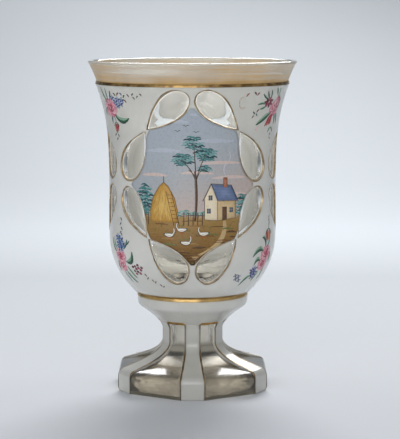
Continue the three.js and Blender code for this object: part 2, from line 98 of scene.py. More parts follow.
# %% Sizes of the clear glass, in metres
HEIGHT = cad_high.z
RIM_RADIUS = (cad_high.x - cad_low.x) / 2
WAIST_RADIUS = 0.0347
FLARE_START = 0.099
DOME_TOP = 0.066
DOME_DEPTH = 0.0331
DOME_BOTTOM = 0.0426
COLLAR_GROOVE = Vector((0.0223, 0.0414))
COLLAR_SHOULDER = Vector((0.02285, 0.0399))
COLLAR_BULGE = Vector((0.02285, 0.0369))
COLLAR_EDGE = Vector((0.0223, 0.0362))
CONE_TOP = Vector((0.0213, 0.0354))
CONE_HOLLOW = Vector((0.01688, 0.03252))
PANEL_TOP = Vector((0.0134, 0.0287))
STEM_TOP = Vector((0.01235, 0.0266))
STEM_BOTTOM = Vector((0.01235, 0.0205))
SWEEP_HIGH = Vector((0.01235, 0.01503))
SWEEP_LOW = Vector((0.01951, 0.01229))
FOOT_TOP = Vector((0.0304, 0.0091))
FOOT_CORNER = Vector((0.0328, 0.0087))
FOOT_EDGE = Vector((0.0328, 0.0067))
WALL = 0.0046
LIP = 0.0028
RIM_MARGIN = 0.0001
BOWL_FLOOR = 0.048
CASING = 0.0009
FUSED = 0.00006
CASING_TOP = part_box("white_casing")[1].z
print("lip", round(2000 * RIM_RADIUS, 1), "mm across, casing up to", round(1000 * CASING_TOP, 1))


# %% Curves of the outline
def bent(start, bend, end, steps):
    """Points of a curve that leaves start towards bend and arrives at end, without start itself."""
    shares = [i / steps for i in range(1, steps + 1)]
    return [(1 - t) ** 2 * start + 2 * t * (1 - t) * bend + t * t * end for t in shares]


def swept(start, bend, second, end, steps):
    """The same with two bends, for a line that turns slowly at first."""
    near, far = bent(start, bend, second, steps), bent(bend, second, end, steps)
    return [a.lerp(b, (i + 1) / steps) for i, (a, b) in enumerate(zip(near, far))]


def flare(radius, start, rim, top, steps):
    """Arc that leaves the vertical wall and opens out to the lip."""
    rise, spread = top - start, rim - radius
    bow = (rise * rise + spread * spread) / (2 * spread)
    turn = math.asin(rise / bow)
    angles = [turn * (i + 1) / steps for i in range(steps)]
    return [Vector((radius + bow * (1 - math.cos(a)), start + bow * math.sin(a))) for a in angles]


def dome(radius, top, depth, bottom, steps):
    """Rounded bottom of the bowl, from a height up to where the wall is upright."""
    lowest = math.asin((top - bottom) / depth)
    angles = [lowest * (1 - i / steps) for i in range(steps + 1)]
    return [Vector((radius * math.cos(a), top - depth * math.sin(a))) for a in angles]


WAIST_STEPS = 18
waist_heights = [
    DOME_TOP + (FLARE_START - DOME_TOP) * i / WAIST_STEPS for i in range(1, WAIST_STEPS + 1)
]
collar_bulge = bent(COLLAR_EDGE, COLLAR_BULGE, COLLAR_SHOULDER, 6)
collar_line = [CONE_TOP, COLLAR_EDGE, *collar_bulge, COLLAR_GROOVE]
bowl_line = [
    *dome(WAIST_RADIUS, DOME_TOP, DOME_DEPTH, DOME_BOTTOM, 26),
    *[Vector((WAIST_RADIUS, z)) for z in waist_heights],
    *flare(WAIST_RADIUS, FLARE_START, RIM_RADIUS - RIM_MARGIN, HEIGHT, 34),
]
upper_line = collar_line + bowl_line
cone_line = bent(PANEL_TOP, CONE_HOLLOW, CONE_TOP, 7)[:-1]
print("outline of", len(upper_line), "points above the cone")


# %% The outline at a distance
def moved_out(line, distance):
    """An outline at a distance outside itself, with its corners kept sharp."""
    moved = []
    for i, point in enumerate(line):
        before = point - line[i - 1] if i else line[1] - point
        after = line[i + 1] - point if i < len(line) - 1 else before
        first = Vector((before.y, -before.x)).normalized()
        second = Vector((after.y, -after.x)).normalized()
        middle = (first + second).normalized()
        moved.append(point + middle * (distance / middle.dot(first)))
    return moved


@functools.cache
def upper_line_at(distance):
    """Outline of collar and bowl at a distance outside the clear glass."""
    return moved_out(upper_line, distance)


def point_at(height, distance):
    """Point of that outline at a height."""
    line = upper_line_at(distance)
    i = bisect.bisect_left(line, height, lo=1, hi=len(line) - 1, key=lambda p: p.y)
    low, high = line[i - 1], line[i]
    return low.lerp(high, (height - low.y) / (high.y - low.y))


def stretch(low, high, distance):
    """Part of that outline between two heights."""
    between = [p for p in upper_line_at(distance) if low + 0.0002 < p.y < high - 0.0002]
    return [point_at(low, distance), *between, point_at(high, distance)]


print("casing", round(2000 * point_at(FLARE_START, CASING).x, 1), "mm across at the waist")


# %% [markdown]
# ## A way to build rings
# Most pieces here are rings of points set one after another: the foot, the cutting tools of the
# windows, the gold lines, even a brush stroke. So one small helper extrudes a ring of vertices and
# sets the new ring down where it belongs. Blender joins the two, and no face is written by hand.

# %% Rings
def first_ring(mesh, places, capped=False):
    """Starts a shape from a circle of vertices, set down in turn at the given places."""
    made = bmesh.ops.create_circle(mesh, cap_ends=capped, segments=len(places), radius=1)["verts"]
    ring = [made[0], made[0].link_edges[0].other_vert(made[0])]
    while len(ring) < len(places):
        ends = [edge.other_vert(ring[-1]) for edge in ring[-1].link_edges]
        ring.append(next(vertex for vertex in ends if vertex != ring[-2]))
    for vertex, place in zip(ring, places):
        vertex.co = place
    return ring


def round_edges(mesh, ring):
    """Edges of a closed ring of vertices."""
    return [mesh.edges.get(pair) for pair in zip(ring, [*ring[1:], ring[0]])]


def next_ring(mesh, ring, places):
    """Extrudes a closed ring of vertices and sets the new ring down at the given places."""
    made = bmesh.ops.extrude_edge_only(mesh, edges=round_edges(mesh, ring))["geom"]
    fresh = {part for part in made if isinstance(part, bmesh.types.BMVert)}
    following = []
    for old, place in zip(ring, places):
        ends = [edge.other_vert(old) for edge in old.link_edges]
        new = next(vertex for vertex in ends if vertex in fresh)
        new.co = place
        following.append(new)
    return following


def end_ring(mesh, ring, place):
    """Draws a ring together in one point."""
    last = next_ring(mesh, ring, [place] * len(ring))
    bmesh.ops.pointmerge(mesh, verts=last, merge_co=place)


def turned(x, y, z, degrees):
    """A place given for the front of the beaker, turned round the axis to the right."""
    a = math.radians(degrees)
    return Vector((x * math.cos(a) - y * math.sin(a), x * math.sin(a) + y * math.cos(a), z))


# %% From bmesh to object
def to_object(mesh, name, sharp=None):
    """Turns a finished bmesh into a smooth-shaded object, with edges over an angle kept sharp."""
    bmesh.ops.recalc_face_normals(mesh, faces=mesh.faces)
    data = bpy.data.meshes.new(name)
    mesh.to_mesh(data)
    mesh.free()
    data.shade_smooth()
    if sharp:
        data.set_sharp_from_angle(angle=math.radians(sharp))
    piece = bpy.data.objects.new(name, data)
    bpy.context.scene.collection.objects.link(piece)
    return piece


def cut(piece, tools, sharp):
    """Cuts the tools out of a piece for good."""
    boolean = piece.modifiers.new("cut", "BOOLEAN")
    boolean.operation = "DIFFERENCE"
    boolean.solver = "EXACT"
    boolean.object = tools
    graph = bpy.context.evaluated_depsgraph_get()
    data = bpy.data.meshes.new_from_object(piece.evaluated_get(graph), depsgraph=graph)
    piece.modifiers.clear()
    piece.data = data
    data.shade_smooth()
    data.set_sharp_from_angle(angle=math.radians(sharp))


def lay(piece, material, slot, *nodes):
    """Finishes a piece: what it is made of, what it rides on and what it stands for."""
    piece.data.materials.clear()
    piece.data.materials.append(material)
    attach(piece, "root")
    if nodes:
        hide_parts(*nodes)


# %% [markdown]
# ## Stem and foot
# The foot has six ribs, and between each two the cutter has ground a panel down to clear glass. The
# panel drops steeply along the stem, turns at a crease, and runs out nearly flat to a rounded lip.
# Each ring round the foot crosses a rib, steps down its side and crosses the panel.

# %% Sizes of ribs and panels
RIBS = 6
RIB_STEPS = 8
PANEL_STEPS = 14
PITCH = 360 / RIBS
PER_RIB = RIB_STEPS + PANEL_STEPS + 2
RING = RIBS * PER_RIB
STEP = 360 / RING
RIB_AT_STEM = 0.0069
RIB_AT_FOOT = 0.0108
PANEL_STEM = 0.0119
PANEL_CREASE = Vector((0.0190, 0.0113))
PANEL_BEND = Vector((0.0122, 0.0152))
PANEL_LIP = Vector((0.0288, 0.0096))
PANEL_CORNER = Vector((0.0315, 0.0092))
PANEL_EDGE = Vector((0.0318, 0.0064))
RIB_BEVEL = 0.0007
RIB_BEVEL_DROP = 0.0005
BASE_START = 0.004
BASE_ROUND = 0.0014
ABOVE_RIBS = 0.0002
PONTIL_RADIUS = 0.020
PONTIL_DEPTH = 0.0014
PONTIL_SHARES = (0.97, 0.8, 0.55, 0.3)
print("rings round the foot with", RING, "points each")


# %% Rings round the foot and the stem
def rib_half(radius):
    """Half the width of a rib, which widens as it runs out over the foot."""
    share = (radius - STEM_TOP.x) / (FOOT_EDGE.x - STEM_TOP.x)
    return (RIB_AT_STEM + (RIB_AT_FOOT - RIB_AT_STEM) * min(max(share, 0), 1)) / 2


def foot_ring(rib, panel, half, bevel=0):
    """Places round the foot at one step down: across each rib, then across the panel beside it.

    The rib's edges are ground off by bevel.
    """
    edge = (panel.x - half / 2) / math.cos(math.radians(PITCH / 2))
    flat = half - RIB_BEVEL
    across = [-half, *[flat * (2 * j / (RIB_STEPS - 2) - 1) for j in range(RIB_STEPS - 1)], half]
    places = []
    for k in range(RIBS):
        places += [turned(x, bevel * (abs(x) > flat) - rib.x, rib.y, k * PITCH) for x in across]
        start = turned(half, -edge, panel.y, k * PITCH)
        end = turned(-half, -edge, panel.y, (k + 1) * PITCH)
        places += [start.lerp(end, j / PANEL_STEPS) for j in range(PANEL_STEPS + 1)]
    return places


def round_ring(radius, height, towards_ribs):
    """Places round the axis, whose spacing can lean towards that of the ribs below."""
    corner = math.degrees(math.asin(rib_half(PANEL_TOP.x) / PANEL_TOP.x))
    places = []
    for k in range(RIBS):
        for j in range(PER_RIB):
            even = (j - RIB_STEPS / 2) * STEP
            if j <= RIB_STEPS:
                ribbed = corner * (2 * j / RIB_STEPS - 1)
            else:
                share = (j - RIB_STEPS - 1) / PANEL_STEPS
                ribbed = corner + (PITCH - 2 * corner) * share
            angle = even + (ribbed - even) * towards_ribs
            places.append(turned(0, -radius, height, k * PITCH + angle))
    return places


def rounded_base(edge):
    """The last points of the foot's outline: upright, then round the bottom edge to the table."""
    start, end = Vector((edge.x, BASE_ROUND)), Vector((edge.x - BASE_ROUND, 0))
    return [Vector((edge.x, BASE_START)), start, *bent(start, Vector((edge.x, 0)), end, 3)]


STEM_ROWS = 5
SWEEP_ROWS = 10
LIP_ROWS = 5
rib_line = [
    PANEL_TOP,
    STEM_TOP,
    *[STEM_TOP.lerp(STEM_BOTTOM, i / STEM_ROWS) for i in range(1, STEM_ROWS + 1)],
    *swept(STEM_BOTTOM, SWEEP_HIGH, SWEEP_LOW, FOOT_TOP, 2 * SWEEP_ROWS),
    *bent(FOOT_TOP, FOOT_CORNER, FOOT_EDGE, LIP_ROWS),
    *rounded_base(FOOT_EDGE),
]
panel_stem_bottom = Vector((PANEL_STEM, STEM_BOTTOM.y))
panel_line = [
    Vector((PANEL_STEM + 0.0007, PANEL_TOP.y)),
    Vector((PANEL_STEM, STEM_TOP.y)),
    *[Vector((PANEL_STEM, p.y)) for p in rib_line[2 : 2 + STEM_ROWS]],
    *bent(panel_stem_bottom, PANEL_BEND, PANEL_CREASE, SWEEP_ROWS),
    *[PANEL_CREASE.lerp(PANEL_LIP, i / SWEEP_ROWS) for i in range(1, SWEEP_ROWS + 1)],
    *bent(PANEL_LIP, PANEL_CORNER, PANEL_EDGE, LIP_ROWS),
    *rounded_base(PANEL_EDGE),
]
print("foot of", len(rib_line), "rings")


# %% Outline spun round the axis
def spun(mesh, line, closed=False):
    """Spins an outline round the axis."""
    vertices = [mesh.verts.new((0, -p.x, p.y)) for p in line]
    following = [*vertices[1:], vertices[0]] if closed else vertices[1:]
    edges = [mesh.edges.new(pair) for pair in zip(vertices, following)]
    bmesh.ops.spin(
        mesh,
        geom=vertices + edges,
        cent=(0, 0, 0),
        axis=(0, 0, 1),
        angle=math.tau,
        steps=RING,
        use_merge=True,
    )


def ring_at(mesh, point):
    """The ring of vertices through a point of the outline, from the left edge of the front rib."""
    here = [v for v in mesh.verts if abs(v.co.z - point.y) + abs(v.co.xy.length - point.x) < 1e-6]
    shift = math.radians(STEP * (RIB_STEPS + 1) / 2)
    return sorted(here, key=lambda v: (math.atan2(v.co.x, -v.co.y) + shift) % math.tau)


# %% [markdown]
# ## The windows' shape
# A window is a drop: pointed where four of them meet and round at the far end. It is drawn flat, by
# lengths along the bowl, and then bent round it. Eight windows make a ring about a medallion, and
# three rings go round the beaker.

# %% Sizes of the windows
SURFACE = WAIST_RADIUS + CASING
MEDALLION_TOP = CASING_TOP - 0.0039
MEDALLION_BOTTOM = COLLAR_GROOVE.y + 0.009
UPPER_JUNCTION = MEDALLION_TOP - 0.0152
LOWER_JUNCTION = MEDALLION_BOTTOM + 0.0174
MIDDLE = (UPPER_JUNCTION + LOWER_JUNCTION) / 2
JUNCTION_ANGLE = 31.4
SIDE_ANGLE = 52.5
SIDE_GAP = 0.0046
TIP_STEP = 0.00055
DROP_PEAK = 4 / (3 * math.sqrt(3))
DROP_POINTS = 56


def along(degrees):
    """Length along the bowl of an angle round the axis."""
    return math.radians(degrees) * SURFACE


def window(step_out, step_up, junction, end_angle, end_height, width):
    """Flat tip, flat far end and width of a window."""
    tip = Vector((along(JUNCTION_ANGLE) + step_out, junction + step_up))
    return tip, Vector((along(end_angle), end_height)), width


windows = {
    "top": window(-TIP_STEP, TIP_STEP, UPPER_JUNCTION, 3.4, MEDALLION_TOP, 0.0102),
    "upper": window(TIP_STEP, -TIP_STEP, UPPER_JUNCTION, SIDE_ANGLE, MIDDLE + SIDE_GAP / 2, 0.0122),
    "lower": window(TIP_STEP, TIP_STEP, LOWER_JUNCTION, SIDE_ANGLE, MIDDLE - SIDE_GAP / 2, 0.0106),
    "bottom": window(-TIP_STEP, -TIP_STEP, LOWER_JUNCTION, 5.4, MEDALLION_BOTTOM, 0.0118),
}
medallions = {"front": 0, "right": 120, "left": -120}
sides = {"a": -1, "b": 1}
print(len(windows) * len(medallions) * len(sides), "windows")


# %% Drawing a window
def drop(shape, grow):
    """Flat outline of a window from its tip once about; grow moves it out, one value or many."""
    tip, end, width = shape
    length = (end - tip).length
    ahead = (end - tip) / length
    beside = Vector((-ahead.y, ahead.x))
    grows = grow if isinstance(grow, list) else [grow] * DROP_POINTS
    outline = []
    for i, g in enumerate(grows):
        t = math.tau * i / DROP_POINTS
        x = (length + 2 * g) * (1 - math.cos(t)) / 2 - g
        y = (width / 2 + g) * math.sin(t) * math.sin(t / 2) / DROP_PEAK
        outline.append(tip + ahead * x + beside * y)
    return outline


def wrapped(point, distance, side=1, turn=0):
    """A flat point bent round the bowl, at a distance outside the clear glass."""
    angle = side * math.degrees(point.x / SURFACE) + turn
    return turned(0, -point_at(point.y, distance).x, point.y, angle)


lengths = {name: round(1000 * (end - tip).length, 1) for name, (tip, end, _) in windows.items()}
print("windows' lengths in mm", lengths)


# %% [markdown]
# ## Cutting tools
# The grinding wheel leaves a sloping edge through the casing and a shallow hollow in the clear
# glass. One tool per window has just that shape, and the same tools cut both glasses, so that the
# edges line up.

# %% Window tools
TOOL_RINGS = [
    (0.00080, 0.0022),
    (0.00025, 0.00095),
    (-0.00030, -0.00005),
    (-0.00080, -0.00019),
    (-0.0015, -0.00033),
    (-0.0026, -0.00046),
    (-0.0038, -0.00053),
]
DEEPEST = 0.62


def window_tool(mesh, shape, side, turn):
    """One tool, from its open side down to the deepest point of the hollow."""
    tip, end, width = shape
    middle = tip.lerp(end, DEEPEST)
    rings = [
        [wrapped(p, depth, side, turn) for p in drop(shape, grow)] for grow, depth in TOOL_RINGS
    ]
    ring = outside = first_ring(mesh, rings[0])
    for places in rings[1:]:
        ring = next_ring(mesh, ring, places)
    end_ring(mesh, ring, wrapped(middle, TOOL_RINGS[-1][1], side, turn))
    end_ring(mesh, outside, wrapped(middle, TOOL_RINGS[0][1], side, turn))


tools_mesh = bmesh.new()
for turn in medallions.values():
    for shape in windows.values():
        for side in sides.values():
            window_tool(tools_mesh, shape, side, turn)
tools = to_object(tools_mesh, "window_tools")
print("tools of", len(tools.data.polygons), "faces")

# %% [markdown]
# ## Wiring a material
# A material here is a short list of nodes. The helper sets what is a number and links what is a
# socket, so that a material reads from top to bottom as the finish is built up.

# %% Nodes
def plug(tree, node, values):
    """Links each value that is a socket, and sets each that is a number or a colour."""
    for name, value in values.items():
        socket = node.inputs[name]
        if isinstance(value, bpy.types.NodeSocket):
            tree.links.new(value, socket)
        else:
            socket.default_value = value


def put(tree, kind, values=None, **settings):
    """Adds a node, with its settings, its numbers and its links."""
    node = tree.nodes.new(kind)
    for name, value in settings.items():
        setattr(node, name, value)
    plug(tree, node, values or {})
    return node


def paint(code):
    """A colour from its six-digit code, as Blender counts light."""
    shares = [int(code[i : i + 2], 16) / 255 for i in (0, 2, 4)]
    return (*[s / 12.92 if s <= 0.04045 else ((s + 0.055) / 1.055) ** 2.4 for s in shares], 1)


def place_in(tree):
    """Object coordinates."""
    return put(tree, "ShaderNodeTexCoord").outputs["Object"]


def height_in(tree, where):
    """Height of a place above the table."""
    return put(tree, "ShaderNodeSeparateXYZ", {0: where}).outputs[2]


def blended(tree, factor, first, second):
    """Mixes two colours by a factor."""
    return put(tree, "ShaderNodeMix", {0: factor, 6: first, 7: second}, data_type="RGBA").outputs[2]


def ranged(tree, value, low, high, to_low, to_high):
    """Maps a value from one range to another, without going past its ends."""
    here = {"Value": value, "From Min": low, "From Max": high}
    there = {"To Min": to_low, "To Max": to_high}
    return put(tree, "ShaderNodeMapRange", here | there).outputs[0]


def sum_of(tree, first, second):
    """Adds two values."""
    return put(tree, "ShaderNodeMath", {0: first, 1: second}, operation="ADD").outputs[0]


def times(tree, first, second):
    """Multiplies two values."""
    return put(tree, "ShaderNodeMath", {0: first, 1: second}, operation="MULTIPLY").outputs[0]


def clouds(tree, where, scale, detail=3, roughness=0.5):
    """Noise at a scale in lumps per metre."""
    values = {"Vector": where, "Scale": scale, "Detail": detail, "Roughness": roughness}
    return put(tree, "ShaderNodeTexNoise", values).outputs[0]


# %% Groups and materials
def group(name, inputs, outputs):
    """Starts a node group with named sockets; gives the tree, its inputs and its output node."""
    tree = bpy.data.node_groups.new(name, "ShaderNodeTree")
    for socket, kind in inputs.items():
        tree.interface.new_socket(socket, in_out="INPUT", socket_type="NodeSocket" + kind)
    for socket, kind in outputs.items():
        tree.interface.new_socket(socket, in_out="OUTPUT", socket_type="NodeSocket" + kind)
    return tree, put(tree, "NodeGroupInput").outputs, put(tree, "NodeGroupOutput")


def effect(tree, node_tree, values):
    """Places a shared effect in a material, with this material's own values."""
    node = put(tree, "ShaderNodeGroup", node_tree=node_tree)
    plug(tree, node, values)
    return node.outputs


def new_material(name):
    """An empty material with an output."""
    material = bpy.data.materials.new(name)
    material.use_nodes = True
    material.node_tree.nodes.clear()
    return material, material.node_tree, put(material.node_tree, "ShaderNodeOutputMaterial")


def surface(tree, out, values):
    """Ends a material in the Principled shader."""
    shader = put(tree, "ShaderNodeBsdfPrincipled", values)
    tree.links.new(shader.outputs[0], out.inputs[0])


# %% [markdown]
# ## Effects that several finishes share
# Hand-blown glass is never quite flat, and long years of washing leave a haze of fine scratches.
# Gold that was brushed on varies in thickness and darkens where it is thin. Enamel is thicker where
# the brush was lifted. Each effect is a node group with values for its scale.

# %% Hand-blown surface
def hand_blown_group():
    """Slow ripples and a patchy haze of fine wear."""
    inputs = {"Ripple size": "Float", "Haze": "Float"}
    tree, given, out = group("hand_blown", inputs, {"Ripple": "Float", "Roughness": "Float"})
    where = place_in(tree)
    scratched = times(tree, clouds(tree, where, 900, 4, 0.7), clouds(tree, where, 60))
    haze = ranged(tree, scratched, 0.18, 0.42, 0, 1)
    values = {"Ripple": clouds(tree, where, given["Ripple size"], 2, 0.4)}
    values["Roughness"] = times(tree, haze, given["Haze"])
    plug(tree, out, values)
    return tree


hand_blown = hand_blown_group()
print("effect", hand_blown.name)


# %% Brushed gold
def brushed_gold_group():
    """Gold of uneven thickness: its colour, how rough it is and how it stands up."""
    inputs = {"Bright": "Color", "Dark": "Color", "Patch size": "Float", "Darkness": "Float"}
    outputs = {"Colour": "Color", "Roughness": "Float", "Height": "Float"}
    tree, given, out = group("brushed_gold", inputs, outputs)
    where = place_in(tree)
    thin = ranged(tree, clouds(tree, where, given["Patch size"], 4, 0.6), 0.4, 0.62, 0, 1)
    colour = blended(tree, times(tree, thin, given["Darkness"]), given["Bright"], given["Dark"])
    grain = clouds(tree, where, 2500, 2)
    rough = ranged(tree, grain, 0.3, 0.7, 0.24, 0.42)
    plug(tree, out, {"Colour": colour, "Roughness": rough, "Height": grain})
    return tree


brushed_gold = brushed_gold_group()
print("effect", brushed_gold.name)


# %% Fired enamel
def fired_enamel_group():
    """Enamel: streaks of the brush in its colour, and a faint orange-peel surface."""
    inputs = {"Tint": "Color", "Streaks": "Float"}
    outputs = {"Colour": "Color", "Roughness": "Float", "Height": "Float"}
    tree, given, out = group("fired_enamel", inputs, outputs)
    where = place_in(tree)
    streak = clouds(tree, where, 1100, 3, 0.6)
    swing = times(tree, ranged(tree, streak, 0.3, 0.7, -0.5, 0.5), given["Streaks"])
    values = {"Value": sum_of(tree, swing, 1.0), "Color": given["Tint"]}
    colour = put(tree, "ShaderNodeHueSaturation", values).outputs[0]
    rough = ranged(tree, streak, 0.3, 0.7, 0.22, 0.4)
    plug(tree, out, {"Colour": colour, "Roughness": rough, "Height": clouds(tree, where, 700, 1)})
    return tree


fired_enamel = fired_enamel_group()
print("effect", fired_enamel.name)

# %% [markdown]
# ## Finishes
# Clear glass lets light through with the Principled shader's transmission. A lamp can't find its
# way through bent glass in a few bounces, so shadow rays pass straight on, as through a tinted
# window. White glass hides what lies behind it, but it is thin, and some light wanders through it
# below the surface and brightens the bowl from behind. Its colour carries painted shade towards
# the foot and the top, and painted light on its inner faces. The foot's heavy glass gets painted
# shade in its colour by height, and its waves by height. Gold and enamel take their unevenness
# from the groups, and the panel lines carry painted shade down their sides.

# %% Glass finishes
GROUND_BASE = 0.55
LIGHT_REACH = 0.0026
FOOT_SOFTNESS = 0.2
GLASS_TINT = 6
LIP_START = HEIGHT - 0.0009
EDGE_FACE = (0.0078, 0.0094)
PANEL_SLOPE = (0.0112, 0.0135)
FACE_WAVES = (0.0084, 0.0094, 13, 0)
SLOPE_WAVES = (0.011, 0.014, 2, 0)


def bumped(tree, height, strength, distance):
    """Turns a height into a normal."""
    values = {"Height": height, "Strength": strength, "Distance": distance}
    return put(tree, "ShaderNodeBump", values).outputs[0]


def clear_glass_finish():
    """Old lead glass with a faint warm grey and a little haze; low in the foot its colour carries
    painted shade.
    """
    material, tree, out = new_material("clear_glass")
    blown = effect(tree, hand_blown, {"Ripple size": 55, "Haze": 0.05})
    where = place_in(tree)
    height = height_in(tree, where)
    softer = ranged(tree, height, 0.022, 0.04, FOOT_SOFTNESS, 0)
    ground = ranged(tree, height, PONTIL_DEPTH, PONTIL_DEPTH + 0.0004, GROUND_BASE, 0)
    # Painted shade: below the panels' slope the foot's glass is painted brown-grey, and darker
    # still at its upright faces.
    upward = ranged(tree, height, *PANEL_SLOPE, 0, 1)
    above = blended(tree, upward, paint("746b5c"), paint("fbfbf9"))
    foot_shaded_colour = blended(tree, ranged(tree, height, *EDGE_FACE, 0, 1), paint("635c4e"), above)
    wavy = sum_of(tree, ranged(tree, height, *FACE_WAVES), ranged(tree, height, *SLOPE_WAVES))
    waves = times(tree, clouds(tree, where, 210, 1), wavy)
    values = {
        "Base Color": foot_shaded_colour,
        "Roughness": sum_of(tree, sum_of(tree, blown["Roughness"], softer), ground),
        "IOR": 1.52,
        "Transmission Weight": 1,
        "Normal": bumped(tree, sum_of(tree, blown["Ripple"], waves), 0.12, 0.0006),
    }
    glass = put(tree, "ShaderNodeBsdfPrincipled", values)
    smoke = {"Color": paint("e0d6bd"), "Density": GLASS_TINT}
    tint = put(tree, "ShaderNodeVolumeAbsorption", smoke)
    tree.links.new(tint.outputs[0], out.inputs["Volume"])
    straight_on = put(tree, "ShaderNodeBsdfTransparent", {"Color": paint("f8f7f3")})
    shadow = put(tree, "ShaderNodeLightPath").outputs["Is Shadow Ray"]
    choice = {0: shadow, 1: glass.outputs[0], 2: straight_on.outputs[0]}
    both = put(tree, "ShaderNodeMixShader", choice)
    tree.links.new(both.outputs[0], out.inputs[0])
    return material


def white_glass_finish():
    """Opaque white glass, glossy, a little uneven in tone, with painted shade towards the foot and
    the top and painted light on its inner faces.
    """
    material, tree, out = new_material("white_glass")
    blown = effect(tree, hand_blown, {"Ripple size": 90, "Haze": 0.16})
    where = place_in(tree)
    cloudy = ranged(tree, clouds(tree, where, 38, 5, 0.55), 0.35, 0.65, 0, 0.5)
    height = height_in(tree, where)
    # Painted shade: darker from the low bowl down to the foot.
    painted_shade = ranged(tree, height, 0.02, 0.056, 0.9, 0)
    # Painted shade: darker towards the top of the bowl.
    shaded_top = ranged(tree, height, 0.095, 0.12, 0, 0.8)
    darker = sum_of(tree, cloudy, sum_of(tree, painted_shade, shaded_top))
    outside = blended(tree, darker, paint("e4e4e0"), paint("c5c5c0"))
    # Painted light: the casing's inner faces above the foot are painted a lighter white.
    inner = put(tree, "ShaderNodeAttribute", attribute_name="inside").outputs["Fac"]
    above_foot = ranged(tree, height, 0.013, 0.018, 0, 1)
    values = {
        "Base Color": blended(tree, times(tree, inner, above_foot), outside, paint("f0f0ee")),
        "Roughness": sum_of(tree, blown["Roughness"], 0.12),
        "Normal": bumped(tree, blown["Ripple"], 0.3, 0.0008),
        "Subsurface Weight": 0.55,
        "Subsurface Radius": (1, 0.99, 0.98),
        "Subsurface Scale": LIGHT_REACH,
    }
    surface(tree, out, values)
    return material


clear_glass = clear_glass_finish()
white_glass = white_glass_finish()
print("glass", clear_glass.name, white_glass.name)


# %% Gold finishes
def gold_finish(name, bright, dark, patch, darkness, lift=0.5, metal=1, sides=None):
    """Fired gold in one of its thicknesses; if sides are given, it is painted in darker tones down
    a panel's sides as painted shade.
    """
    material, tree, out = new_material(name)
    tones = {"Bright": paint(bright), "Dark": paint(dark)}
    if sides:
        # Painted shade: below the top of the panel the gold turns to the darker side tones.
        height = height_in(tree, place_in(tree))
        top = ranged(tree, height, PANEL_TOP.y - 0.0008, PANEL_TOP.y - 0.0001, 0, 1)
        painted_shade = zip(tones, sides)
        tones = {key: blended(tree, top, paint(code), tones[key]) for key, code in painted_shade}
    gold = effect(tree, brushed_gold, {**tones, "Patch size": patch, "Darkness": darkness})
    values = {
        "Base Color": gold["Colour"],
        "Metallic": metal,
        "Roughness": gold["Roughness"],
        "Normal": bumped(tree, gold["Height"], lift, 0.00005),
    }
    surface(tree, out, values)
    return material


def worn_gilding_finish():
    """The rim's gilding, brushed round the glass and worn thin by lips and washing."""
    material, tree, out = new_material("worn_gilding")
    where = place_in(tree)
    values = {"Bright": paint("dcb67a"), "Dark": paint("b08f60"), "Patch size": 70, "Darkness": 0.5}
    gold = effect(tree, brushed_gold, values)
    drawn = put(tree, "ShaderNodeMapping", {"Vector": where, "Scale": (22, 22, 1500)}).outputs[0]
    strokes = clouds(tree, drawn, 1, 4, 0.62)
    height = height_in(tree, where)
    thick_below = ranged(tree, height, CASING_TOP, CASING_TOP + 0.004, 0.34, 0)
    patch = ranged(tree, clouds(tree, where, 24), 0.35, 0.65, -0.14, 0.14)
    licked = ranged(tree, height, LIP_START - 0.0004, LIP_START + 0.0003, 0, -0.4)
    kept = sum_of(tree, sum_of(tree, strokes, thick_below), sum_of(tree, patch, licked))
    share = ranged(tree, kept, 0.42, 0.85, 0, 1)
    values = {
        "Base Color": blended(tree, share, paint("e4ded3"), gold["Colour"]),
        "Metallic": 0.3,
        "Roughness": sum_of(tree, gold["Roughness"], 0.12),
        "Alpha": ranged(tree, kept, 0.36, 0.72, 0.55, 0.97),
        "Normal": bumped(tree, strokes, 0.5, 0.0001),
    }
    surface(tree, out, values)
    return material


line_gold = gold_finish("line_gold", "bda47f", "735c3a", 230, 0.85)
band_gold = gold_finish("band_gold", "c9ab74", "7a6440", 120, 0.7, lift=0.4)
dark_gold = gold_finish("dark_gold", "a38757", "5a452e", 330, 0.9)
worn_gilding = worn_gilding_finish()
# Painted shade: darker gold for the panel lines where they run down the ribs.
shaded_sides = ("8d744c", "4b3822")
panel_line_gold = gold_finish(
    "panel_line_gold", "dcae60", "a67e40", 260, 0.85, metal=0.8, sides=shaded_sides
)
print("gold", line_gold.name, band_gold.name, worn_gilding.name)


# %% Enamel finishes
def enamel_finish(name, streaks):
    """Enamel whose colour is painted into each stroke's tint."""
    material, tree, out = new_material(name)
    tint = put(tree, "ShaderNodeVertexColor", layer_name="tint").outputs[0]
    enamel = effect(tree, fired_enamel, {"Tint": tint, "Streaks": streaks})
    values = {
        "Base Color": enamel["Colour"],
        "Roughness": enamel["Roughness"],
        "Normal": bumped(tree, enamel["Height"], 0.25, 0.0001),
        "Specular IOR Level": 0.4,
    }
    surface(tree, out, values)
    return material


flower_enamel = enamel_finish("flower_enamel", 0.35)
painted_enamel = enamel_finish("painted_enamel", 0.09)
print("enamel", flower_enamel.name, painted_enamel.name)

# %% [markdown]
# ## The clear glass body
# One outline, spun once, makes collar, bowl, lip and hollow. The ring it leaves open at the bottom
# is then extruded down the cone, the stem and the foot, and closed in a shallow ground dish.

